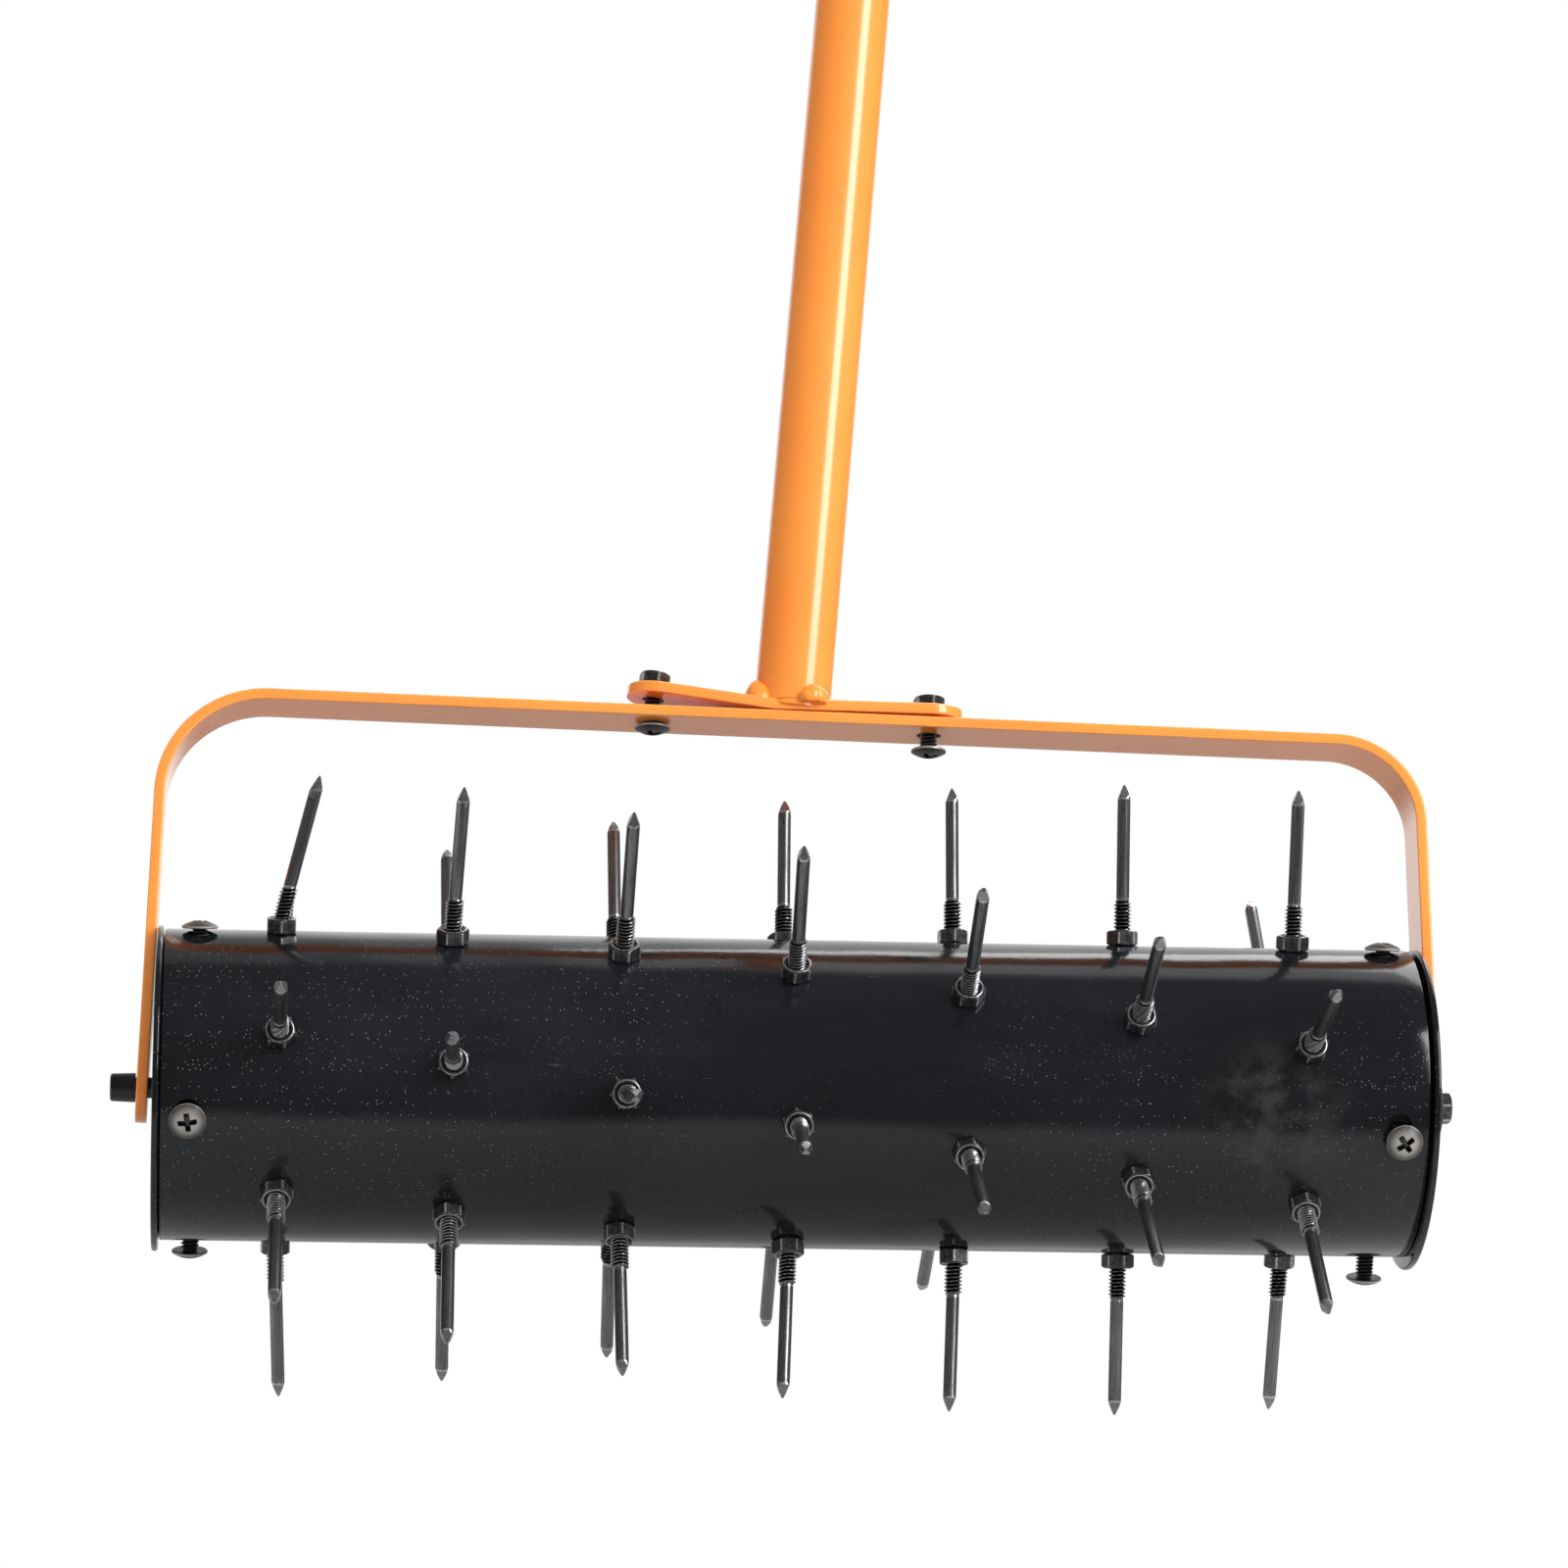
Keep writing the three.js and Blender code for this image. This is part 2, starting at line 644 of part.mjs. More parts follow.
// The stem and the cross bar are welded into one piece.
function tHandlePiece() {
  const half = crossBarLength / 2;
  const along = (geometry) => toSolid(geometry.rotateY(Math.PI / 2).translate(0, 0, stemLength));
  const bar = along(rod(tubeRadius, -half, half, tubeSides));
  const bore = along(rod(tubeRadius - tubeWall, -half - overrun, half + overrun, tubeSides));
  return piece("t_handle", swagedTube(stemLength).add(bar).subtract(bore), orangeCoat);
}

// A ribbed grip, closed at its outer end, that is pushed over the cross bar.
function gripPiece(name, side) {
  const bore = tubeRadius + fitGap;
  const radius = bore + gripWall;
  const start = crossBarLength / 2 + fitGap + gripEndWall - gripLength;
  const end = start + gripLength;
  const ribStep = (gripLength - 2 * gripFlangeLength - gripEndWall) / gripRibCount;
  const profile = [
    [bore, start],
    [radius + gripFlange, start],
    [radius + gripFlange, start + gripFlangeLength / 2],
    [radius, start + gripFlangeLength],
  ];
  for (let i = 0; i < gripRibCount; i++) {
    const ribStart = start + gripFlangeLength + i * ribStep;
    profile.push([radius + gripRib, ribStart + ribStep / 2], [radius, ribStart + ribStep]);
  }
  profile.push([radius, end - gripEndWall / 2], [radius - gripEndWall / 2, end], [0, end]);
  profile.push([0, end - gripEndWall], [bore, end - gripEndWall]);
  const mesh = piece(name, toSolid(revolved(profile, tubeSides).rotateY((side * Math.PI) / 2)), gripRubber);
  mesh.position.z = stemLength;
  return mesh;
}

// A screw through a handle joint, head in front and nut behind.
function handleBoltPiece(name) {
  const seat = tubeRadius + fitGap;
  const tail = -seat - nutHeight - screwTailLength;
  const solid = toSolid(rod(threadRadius, tail, seat + screwHeadEdge, screwSides))
    .add(toSolid(domedHead(seat)))
    .add(toSolid(hexagon(nutAcrossFlats, nutHeight, nutChamfer, seat).rotateX(Math.PI)));
  const mesh = piece(name, solid, blackScrew);
  mesh.rotation.x = Math.PI / 2;
  mesh.position.z = -spigotLength / 2;
  return mesh;
}

// Each section stands in the one below it, so the groups are nested up the handle.
function handleGroup() {
  const top = new THREE.Group();
  top.position.z = middleTubeLength;
  top.add(tHandlePiece(), handleBoltPiece("handle_bolt_upper"));
  top.add(gripPiece("grip_left", -1), gripPiece("grip_right", 1));
  const middle = new THREE.Group();
  middle.position.z = lowerTubeLength;
  middle.add(middleTubePiece(), handleBoltPiece("handle_bolt_lower"), top);
  const tubes = new THREE.Group();
  tubes.rotation.y = degrees(handleLean);
  tubes.add(middle);
  const handle = new THREE.Group();
  handle.position.x = handleShift;
  handle.add(handleBasePiece(), tubes);
  handle.add(plateScrewPiece("base_screw_left", -1, plateScrewHangs.left));
  handle.add(plateScrewPiece("base_screw_right", 1, plateScrewHangs.right));
  const bar = new THREE.Group();
  bar.position.z = barTop;
  bar.rotation.y = degrees(barSlope);
  bar.add(handle);
  return bar;
}

const aerator = new THREE.Group();
aerator.add(drumGroup(), yokePiece(), ...axlePieces(), handleGroup());

// The tool stands on its lowest spikes, with the middle of its box over the origin.
aerator.updateMatrixWorld(true);
const box = new THREE.Box3().setFromObject(aerator, true);
const middle = box.getCenter(new THREE.Vector3());
aerator.position.set(-middle.x, -middle.y, -box.min.z);

export default aerator;
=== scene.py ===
# The looks of a rolling spike aerator: a black spiked drum in an orange flat-bar yoke under a tube handle.
# Sizes are in millimetres and angles in degrees, in a frame whose origin is on the axle.
# +X runs along the axle, +Y away from the viewer and +Z up.

import json
import math

import bmesh
import bpy
import numpy as np
from mathutils import Matrix, Vector


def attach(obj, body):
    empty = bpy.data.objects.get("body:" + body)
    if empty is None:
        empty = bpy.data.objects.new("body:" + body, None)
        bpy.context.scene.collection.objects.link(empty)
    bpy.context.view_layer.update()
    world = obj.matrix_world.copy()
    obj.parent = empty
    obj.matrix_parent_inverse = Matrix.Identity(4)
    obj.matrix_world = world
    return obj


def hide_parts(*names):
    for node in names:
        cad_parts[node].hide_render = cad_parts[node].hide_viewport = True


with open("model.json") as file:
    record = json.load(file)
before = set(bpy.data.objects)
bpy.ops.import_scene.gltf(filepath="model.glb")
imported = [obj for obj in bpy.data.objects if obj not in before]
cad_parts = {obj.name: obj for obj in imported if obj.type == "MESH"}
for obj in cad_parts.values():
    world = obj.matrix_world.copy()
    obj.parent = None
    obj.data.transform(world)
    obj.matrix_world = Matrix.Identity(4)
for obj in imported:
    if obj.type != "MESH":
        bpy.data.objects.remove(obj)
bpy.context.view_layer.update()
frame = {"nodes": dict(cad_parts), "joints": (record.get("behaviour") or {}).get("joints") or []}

MM = 0.001
AXLE = np.array(frame["joints"][0]["pos_m"]) / MM
SHARP_ANGLE = 32


def node_points(node):
    """The different corners of a node's solid, from the axle, in millimetres."""
    mesh = frame["nodes"][node].data
    points = np.zeros(len(mesh.vertices) * 3)
    mesh.vertices.foreach_get("co", points)
    return np.unique((points.reshape(-1, 3) / MM - AXLE).round(3), axis=0)


def node_box(node):
    """The lowest and highest corner of a node's solid, from the axle, in millimetres."""
    points = node_points(node)
    return points.min(axis=0), points.max(axis=0)


# Drum tube
DRUM_LOW, DRUM_HIGH = node_box("drum_tube")
DRUM_CENTRE = (DRUM_LOW + DRUM_HIGH) / 2
DRUM_RADIUS = (DRUM_HIGH[2] - DRUM_LOW[2]) / 2
DRUM_LENGTH = DRUM_HIGH[0] - DRUM_LOW[0]
DRUM_WALL = 1.5
DRUM_ROWS = 44
DRUM_PLAIN_END = 8
TUBE_EDGE = 0.35
# Centre of a duller patch on the drum's right front, whose paler colour is a painted reflection of the key
# lamp
SHEEN_SMUDGE_CENTRE = (0.108, -0.043, 0.076)

# Spikes
SPIKE_ROWS = "abcdef"
SPIKE_COLUMNS = 7
SHANK_RADIUS = 1.9
SHANK_ROWS = 12
POINT_LENGTH = 4.1
POINT_TOP = 0.2
POINT_SHOULDER = 0.07
POINT_SWELL = 0.92
POINT_FOOT_SHARE = 1.3
POINT_WIDTH_SHARE = 0.74
POINT_ROWS = 9
THREAD_ABOVE_NUT = 9
THREAD_ROWS = 82
BOLT_HEAD_HEIGHT = 3.6
LEAN_BEND = 1.02

# How far a tip stands aside of its solid's, along and round the drum
TIP_NUDGES = {"f1": (2.2, 0)}

# Threads and nuts
FIT = 0.3
THREAD_RADIUS = 2.6
THREAD_ROOT = 1.8
THREAD_PITCH = 1.06
NUT_ACROSS = 8.2
NUT_HEIGHT = 4.3
NUT_FACE_SHARE = 0.93
NUT_CONE_ROWS = 6
# Width of a nut's corners that are painted bright, as wear and as a painted highlight
NUT_WEAR_AND_HIGHLIGHT_WIDTH = 0.16
NUT_SINK = 0.45
NUT_BORE = 2.8
SOLID_BORE = 0.01

# Screw heads
HEAD_RADIUS = 5.15
HEAD_HEIGHT = 2.4
HEAD_EDGE = 0.7
CROSS_HALF_WIDTH = 0.75
CROSS_REACH = 2.75
CROSS_DEPTH = 2.1
CROSS_WALL = 0.3
CROSS_SLOPE_SHARE = 0.45

# End caps
CAP_GAP = 0.4
CAP_THICKNESS = 1.8
CAP_OVERHANG = 2
CAP_SKIRT_WALL = 1.4
CAP_SLACK = 0.8
CAP_DISH_DEPTH = 3.2
CAP_DISH_RADIUS = 31
CAP_DISH_SLOPE = 3
CAP_ROUNDING = 0.8
ASKEW_SHIFT = 0.6
ASKEW_DROP = 0.5
ASKEW_TIP = 0.9

# Cap screws at the front, top, back and bottom: their place round and along the tube, how far their heads
# stand off it, how they lean, and how their crosses are turned
CAP_SCREWS = {
    -1: [(-23.8, 7.8, 0.7, -9, 8), (64, 9.8, 0.9, 10, 50), (154, 7.8, 0.8, 0, 10), (244, 8.5, 3.8, 0, 75)],
    1: [(-23.6, 8.1, 2.7, -8, 36), (64, 9.6, 0.6, 10, 20), (154, 7.8, 0.8, 0, 60), (244, 8.6, 7.1, 0, 40)],
}
CAP_HOLE_FROM = 30
CAP_HOLE_TO = 50
CAP_HOLE_RADIUS = 3.6
FRONT_HOLE_RADIUS = 3.4
FRONT_HOLE_RISES = {-1: 3.1, 1: 5}
FRONT_HOLE_SHIFTS = {-1: 0, 1: -1}

# Bushes, axle bolt, washer and sleeve nut
BUSH_RADIUS = 6.7
BUSH_FLANGE_RADIUS = 11
BUSH_FLANGE = 3.2
BUSH_LENGTH = 9
AXLE_RADIUS = 3
AXLE_HEAD_ACROSS = 8.2
AXLE_HEAD_HEIGHT = 3.3
AXLE_SHANK_INSET = 2
WASHER_RADIUS = 8.6
WASHER_THICKNESS = 0.9
SLEEVE_RADIUS = 4.05
SLEEVE_WALL = 1.4

# Yoke
BAR_WIDTH = 20
BAR_THICKNESS = 3.2
BAR_SLOPE = 1.27
ARM_SPLAYS = {-1: 1.9, 1: 0.65}
BEND_RADII = (32, 26.7)
BAR_ROUNDING = 0.55
BAR_HOLE_RADIUS = 3.6
PATH_SPACING = 6
ARC_STEPS = 24
BAR_TOP = DRUM_CENTRE[2] + 112.2
YOKE_LOW = node_box("yoke")[0]

# Base plate, lower tube and welds
PLATE_LENGTH = 98.5
PLATE_THICKNESS = 3.2
PLATE_SHIFT = 1.1
SCREW_PLACE = PLATE_LENGTH / 2 - 8.7
PLATE_BEND_OFFSET = -6
PLATE_BEND_RADIUS = 9
PLATE_LIFT_LEFT = 6.3
PLATE_LIFT_RIGHT = 0.7
SCREW_HANGS = {"left": 0.7, "right": 4.2}
SCREW_TAIL = 0.5
HANDLE_SHIFT = 0.4
HANDLE_LEAN = 3.63
TUBE_RADIUS = 11.2
TUBE_WALL = 1.2
LOWER_TUBE_LENGTH = 380
WELD_THICKNESS = 0.4
WELD_RISE = 0.85
WELD_SAG = 1.3

# The weld's tacks: their angle round the tube, thickness, rise and half width as an angle
WELD_TACKS = [(-152, 3.6, 1.6, 23), (-60, 3.4, 1.15, 25), (60, 3, 0.9, 21), (120, 3, 0.9, 21)]
WELD_SIDE_ANGLE = -5
WELD_SIDE_THICKNESS = 2.2
WELD_SIDE_HALF_WIDTH = 52

# Upper handle
MIDDLE_TUBE_LENGTH = 360
STEM_FOOT = LOWER_TUBE_LENGTH + MIDDLE_TUBE_LENGTH
STEM_LENGTH = 300
SPIGOT_LENGTH = 44
SWAGE_LENGTH = 5
STEM_WELD = 1.5
CROSS_BAR_LENGTH = 300
HANDLE_SCREW_TAIL = 1.5
GRIP_LENGTH = 112
GRIP_WALL = 3.15
GRIP_RIB = 0.7
GRIP_RIBS = 7
GRIP_END_WALL = 4
GRIP_FLANGE = 2.3
GRIP_FLANGE_LENGTH = 5

# Photograph's camera, from the middle of the drum tube
CAMERA_PLACE = (-148.6, -1713.8, -384.4)
CAMERA_AHEAD = (0.0828, 0.9601, 0.2672)
CAMERA_UP = (-0.0202, -0.2665, 0.9636)
CAMERA_LENS = 140.44
CAMERA_SENSOR = 36

# Greys of the studio, in linear light
WHITE = (1, 1, 1, 1)
FILL_GREY = (0.79, 0.79, 0.79, 1)
FILL_LEFT = (0.6, 0.6, 0.6, 1)
MIRRORED_DARK = (0.13, 0.13, 0.13, 1)
FLOOR_SEEN = (0.68, 0.68, 0.68, 1)
FLOOR_NEAR = (0.6, 0.6, 0.6, 1)
FLOOR_AHEAD = (0.1, 0.1, 0.1, 1)
FLOOR_BEHIND = (0.36, 0.36, 0.36, 1)
FLOOR_LIT = (0.68, 0.68, 0.68, 1)

# Ranges over which the studio changes: the floor by its depth, and the surroundings by their direction
FLOOR_NEARER = (-0.17, -0.12)
FLOOR_FURTHER = (0.15, 0.45)
BEHIND = (-0.04, 0.08)
IN_THE_MIDDLE = (0.7, 0.4)
ON_THE_RIGHT = (0.01, 0.1)
BELOW_THE_TOP = (0.85, 0.65)
ABOVE_HORIZON = (0, 0.26)
RIGHT_OF_LEFT = (-0.7, 0.1)
LEFT_SHARE = 0.28
HORIZON_SHARE = 0.3


# Shader maths

class Value:
    """A socket of a finish's nodes, on which plain arithmetic adds Math nodes."""

    def __init__(self, finish, socket):
        self.finish = finish
        self.socket = socket

    def __add__(self, other):
        return self.finish.math("ADD", self, other)

    def __radd__(self, other):
        return self.finish.math("ADD", other, self)

    def __sub__(self, other):
        return self.finish.math("SUBTRACT", self, other)

    def __rsub__(self, other):
        return self.finish.math("SUBTRACT", other, self)

    def __mul__(self, other):
        return self.finish.math("MULTIPLY", self, other)

    def __rmul__(self, other):
        return self.finish.math("MULTIPLY", other, self)

    def rise(self, low, high):
        """0 below low, 1 above high and smooth between; it falls where low is above high."""
        sockets = {0: self, 1: low, 2: high}
        return self.finish.node("MapRange", sockets, {"interpolation_type": "SMOOTHSTEP"})


class Finish:
    """A material, or the studio's surroundings, that is built as nodes."""

    def __init__(self, name, kind=bpy.data.materials):
        self.material = kind.new(name)
        self.material.use_nodes = True
        self.tree = self.material.node_tree
        self.tree.nodes.clear()

    def node(self, kind, sockets=None, settings=None, output=0):
        """A node with its settings made first and then its sockets set or linked."""
        made = self.tree.nodes.new("ShaderNode" + kind)
        for key, setting in (settings or {}).items():
            setattr(made, key, setting)
        for key, value in (sockets or {}).items():
            if isinstance(value, Value):
                self.tree.links.new(value.socket, made.inputs[key])
            else:
                made.inputs[key].default_value = value
        return Value(self, made.outputs[output]) if len(made.outputs) else made

    def math(self, operation, *values):
        """Plain arithmetic on values and numbers."""
        return self.node("Math", dict(enumerate(values)), {"operation": operation})

    def place(self):
        """Object coordinates, in metres."""
        return self.node("TexCoord", output="Object")

    def own(self):
        """The piece's own coordinates before it was put in place, in millimetres."""
        return self.node("Attribute", None, {"attribute_name": "own"}, "Vector")

    def edge(self):
        """1 on a piece's corners, 0 away from them and below 0 in its grooves."""
        return self.node("Attribute", None, {"attribute_name": "edge"}, "Fac")

    def part(self, vector, axis):
        """One coordinate of a vector, by its letter."""
        return self.node("SeparateXYZ", {0: vector}, output=axis)

    def stretched(self, place, factors):
        """Coordinates multiplied by a factor along each axis."""
        return self.node("VectorMath", {0: place, 1: factors}, {"operation": "MULTIPLY"})

    def distance(self, place, centre):
        """How far coordinates lie from a centre."""
        return self.node("VectorMath", {0: place, 1: centre}, {"operation": "DISTANCE"}, "Value")

    def noise(self, place, scale, detail=2.0, roughness=0.5):
        """Soft clouds from 0 to 1."""
        sockets = {"Vector": place, "Scale": scale, "Detail": detail, "Roughness": roughness}
        return self.node("TexNoise", sockets)

    def specks(self, place, scale, size, rarity=0):
        """Small round spots, one to a cell, from faint to 1. Rarity is the share of empty cells."""
        cells = {"Vector": place, "Scale": scale}
        distance = self.node("TexVoronoi", cells, output="Distance")
        chosen = self.node("TexVoronoi", cells, output="Color")
        return distance.rise(size, size * 0.4) * chosen.rise(rarity, rarity + 0.3)

    def light_path(self, kind):
        """1 for rays of one kind, such as Is Camera Ray."""
        return self.node("LightPath", output=kind)

    def mix(self, factor, first, second):
        """One colour at 0 and another at 1."""
        return self.node("Mix", {0: factor, 6: first, 7: second}, {"data_type": "RGBA"}, 2)

    def blend(self, factor, first, second):
        """One shader at 0 and another at 1."""
        return self.node("MixShader", {0: factor, 1: first, 2: second})

    def bump(self, height, strength, distance):
        """The surface's direction over small heights, each in shares of a distance in metres."""
        return self.node("Bump", {"Height": height, "Strength": strength, "Distance": distance})

    def surface(self, colour, roughness, normal, **others):
        """The finished surface. The names of its other sockets are written with _ for their spaces."""
        sockets = {"Base Color": colour, "Roughness": roughness, "Normal": normal}
        sockets.update({key.replace("_", " "): value for key, value in others.items()})
        shader = self.node("BsdfPrincipled", sockets)
        self.node("OutputMaterial", {"Surface": shader})
        return self.material


def srgb(red, green, blue):
    """A colour in linear light from its 0 to 255 numbers on screen."""
    shares = np.array([red, green, blue]) / 255
    linear = np.where(shares <= 0.04045, shares / 12.92, ((shares + 0.055) / 1.055) ** 2.4)
    return (*linear.tolist(), 1.0)


# Finishes

def orange_coat():
    """Glossy orange powder coat: faint orange peel, slightly uneven tone, a few pale nicks at the corners,
    and a painted highlight that lightens every corner all along.
    """
    f = Finish("orange_coat")
    place = f.place()
    tone = f.noise(place, 18, 3)
    peel = f.noise(place, 650, 2)
    nick = f.noise(place, 420, 4, 0.7).rise(0.69, 0.74) * f.edge().rise(0.25, 0.8)
    dust = f.specks(place, 190, 0.055) * f.noise(place, 40, 2).rise(0.52, 0.66)
    colour = f.mix(tone.rise(0.3, 0.7), srgb(250, 141, 51), srgb(253, 150, 57))
    # Painted highlight: all corners are lightened towards pale orange, as where rounded edges catch the
    # light.
    colour = f.mix(f.edge().rise(0.2, 1) * 0.35, colour, srgb(255, 192, 118))
    colour = f.mix(nick * 0.7, colour, srgb(255, 226, 190))
    colour = f.mix(dust * 0.35, colour, srgb(150, 80, 40))
    roughness = 0.24 + tone * 0.06 + nick * 0.3
    return f.surface(colour, roughness, f.bump(peel, 0.06, 0.0004), Coat_Weight=0.8, Coat_Roughness=0.1)


def black_coat():
    """Glossy black powder coat with dull smears, fine pale dust, grit and hair scratches, and at the right
    front a duller patch whose paler colour is a painted reflection of the key lamp.
    """
    f = Finish("black_coat")
    place = f.place()
    smear = f.noise(f.stretched(place, (14, 14, 30)), 1, 4, 0.6)
    film = f.noise(place, 90, 5, 0.65)
    peel = f.noise(place, 520, 2)
    sag = f.noise(place, 22, 1)
    dusty = f.noise(place, 12, 3).rise(0.34, 0.58) * 0.85 + 0.15
    dust = f.specks(place, 1000, 0.19, 0.42) * dusty
    grit = f.specks(place, 380, 0.055, 0.45) * dusty
    sheen_smudge = f.distance(place, SHEEN_SMUDGE_CENTRE).rise(0.028, 0.006) * film.rise(0.4, 0.62)
    hair = f.noise(f.stretched(place, (60, 260, 900)), 1, 2, 0.5).rise(0.74, 0.8)
    pale = (dust * 0.6 + grit * 0.85 + hair * 0.14).rise(0, 1)
    colour = f.mix(smear.rise(0.35, 0.75), srgb(18, 20, 23), srgb(26, 28, 32))
    # Painted reflection: the patch is lightened where the key lamp's reflection lies; its added roughness is
    # a dull film.
    colour = f.mix(sheen_smudge * 0.6, colour, srgb(52, 54, 54))
    colour = f.mix(pale, colour, srgb(196, 193, 186))
    dull = smear.rise(0.5, 0.8) * 0.12 + film.rise(0.55, 0.8) * 0.08
    roughness = 0.12 + dull + sheen_smudge * 0.25 + pale * 0.4
    return f.surface(colour, roughness, f.bump(peel * 0.02 + sag, 0.1, 0.014))


def spike_steel():
    """Dark plated steel, brushed along the spike, with small dull patches. In the thread, painted shade
    darkens the grooves near black, and painted highlights lighten the crests and a ring where the thread
    ends.
    """
    f = Finish("spike_steel")
    own = f.own()
    grain = f.noise(f.stretched(own, (3.2, 3.2, 0.06)), 1, 4, 0.7)
    patch = f.noise(own, 0.35, 3)
    colour = f.mix(grain.rise(0.35, 0.7), srgb(106, 106, 108), srgb(160, 161, 164))
    colour = f.mix(patch.rise(0.55, 0.75) * 0.5, colour, srgb(78, 78, 80))
    across = f.distance(f.stretched(own, (1, 1, 0)), (0, 0, 0))
    # Painted shade: the thread's grooves are darkened near black.
    colour = f.mix(f.edge().rise(-0.2, -0.6), colour, srgb(16, 15, 15))
    # Painted highlight: the thread's crests are lightened.
    colour = f.mix(across.rise(2.35, 2.58) * 0.5, colour, srgb(205, 205, 208))
    # Painted highlight: a bright ring where the thread ends.
    colour = f.mix(f.edge(), colour, srgb(215, 216, 220))
    return f.surface(colour, 0.23 + patch * 0.13, f.bump(grain, 0.12, 0.0001), Metallic=0.95)


def bare_point():
    """The spike's ground point: brighter, with marks from the wheel across its facets, and a painted
    highlight as a bright ring round its shoulder.
    """
    f = Finish("bare_point")
    own = f.own()
    grain = f.noise(f.stretched(own, (0.8, 0.8, 6)), 1, 3, 0.6)
    colour = f.mix(grain.rise(0.35, 0.7), srgb(128, 129, 132), srgb(188, 189, 193))
    # Painted highlight: a bright ring round the point's shoulder.
    colour = f.mix(f.edge(), colour, srgb(236, 236, 238))
    return f.surface(colour, 0.18 + grain * 0.1, f.bump(grain, 0.15, 0.0001), Metallic=0.9)


def black_nut():
    """Dark plated steel with a slightly mottled face, its corners painted bright, partly as wear and partly
    as a painted highlight.
    """
    f = Finish("black_nut")
    own = f.own()
    mottle = f.noise(own, 0.8, 4, 0.6)
    # Corners painted bright: patchy wear and a painted highlight.
    worn_and_highlit = f.edge() * mottle.rise(0.25, 0.55)
    colour = f.mix(mottle.rise(0.35, 0.7), srgb(66, 67, 69), srgb(102, 103, 106))
    colour = f.mix(worn_and_highlit * 0.9, colour, srgb(232, 233, 236))
    return f.surface(colour, 0.22 + mottle * 0.14, f.bump(mottle, 0.08, 0.0001), Metallic=0.8)


def screw_steel(name, middle, share):
    """Black plated screw with painted light: its dome is painted lighter in the middle and its rim brighter,
    as highlights, and its cross and thread grooves near black, as shade.

    middle is the colour of the painted highlight in the dome's middle and share its strength.
    """
    f = Finish(name)
    own = f.own()
    mottle = f.noise(own, 0.7, 4, 0.65)
    across = f.distance(f.stretched(own, (1, 1, 0)), (0, 0, 0))
    colour = f.mix(mottle.rise(0.3, 0.7), srgb(60, 57, 56), srgb(80, 76, 74))
    # Painted highlight: the dome lightens towards its middle.
    colour = f.mix(across.rise(5.3, 2.2) * share, colour, middle)
    # Slightly lighter grey on the cross's shallow walls and all along the thread.
    colour = f.mix(f.edge().rise(-0.02, -0.1), colour, srgb(84, 83, 82))
    # Painted highlight: the rim is brightened.
    colour = f.mix(f.edge() * 0.7, colour, srgb(206, 204, 202))
    # Painted shade: the cross and the thread's grooves are darkened near black.
    colour = f.mix(f.edge().rise(-0.2, -0.65), colour, srgb(10, 10, 10))
    return f.surface(colour, 0.32 + mottle * 0.14, f.bump(mottle, 0.08, 0.0001), Metallic=0.5)


def moulded(name, clouds, colours, roughness, grain):
    """Moulded black nylon or rubber: clouded in tone and roughness, with a fine grain.

    roughness is its least and how much the clouds add; grain is its scale, detail, strength and depth.
    """
    f = Finish(name)
    place = f.place()
    cloud = f.noise(place, clouds, 3)
    colour = f.mix(cloud.rise(0.3, 0.7), *colours)
    normal = f.bump(f.noise(place, *grain[:2]), *grain[2:])
    return f.surface(colour, roughness[0] + cloud * roughness[1], normal)


ORANGE = orange_coat()
BLACK = black_coat()
SPIKE = spike_steel()
POINT = bare_point()
NUT = black_nut()
SCREW = screw_steel("black_screw", srgb(96, 92, 88), 0.6)
# A lit copy of the black screw for the caps' front screws, its dome painted much lighter in the middle, as
# painted light from the front.
LIT_FRONT_SCREW = screw_steel("lit_front_screw", srgb(186, 182, 176), 0.85)
NYLON_TONES = (srgb(22, 22, 24), srgb(36, 36, 38))
RUBBER_TONES = (srgb(30, 30, 31), srgb(44, 44, 45))
NYLON = moulded("black_nylon", 120, NYLON_TONES, (0.3, 0.16), (900, 2, 0.1, 0.0002))
RUBBER = moulded("grip_rubber", 60, RUBBER_TONES, (0.66, 0.18), (1500, 3, 0.35, 0.0003))


# Surfaces

class Skin:
    """A grid of points as a surface. Its columns close into rings, and its rows close too, or end in caps.

    own keeps the points as they were before the skin was moved, edge says how near a corner each lies, and
    finish is the number of the skin's material on its piece.
    """

    def __init__(self, rings, looped=False, edge=0, finish=0):
        rows, columns = rings.shape[:2]
        self.points = rings.reshape(-1, 3)
        self.own = self.points
        self.edge = np.broadcast_to(edge, (rows, columns)).reshape(-1)
        self.finish = finish
        numbers = np.arange(rows * columns).reshape(rows, columns)
        above = np.roll(numbers, -1, axis=0)
        if not looped:
            numbers, above = numbers[:-1], above[:-1]
        beside = np.roll(numbers, -1, axis=1)
        beside_above = np.roll(above, -1, axis=1)
        self.faces = np.stack([numbers, beside, beside_above, above], axis=-1).reshape(-1, 4).tolist()
        if not looped:
            self.faces += [numbers[0][::-1].tolist(), above[-1].tolist()]

    def moved(self, turn=None, shift=(0, 0, 0)):
        """The same skin, turned by a matrix and then shifted."""
        if turn is not None:
            self.points = self.points @ np.asarray(turn).T
        self.points = self.points + np.asarray(shift)
        return self


def turned(axis, angle):
    """A turn about X, Y or Z as a matrix."""
    return np.array(Matrix.Rotation(math.radians(angle), 3, axis))


def sine(angle):
    """Sine of an angle in degrees."""
    return math.sin(math.radians(angle))


def slope(angle):
    """Tangent of an angle in degrees: the rise of a slope for each step along it."""
    return math.tan(math.radians(angle))


# A piece built about +Z is laid along the axle by this turn, its top towards +X.
ALONG_AXLE = turned("Y", 90)


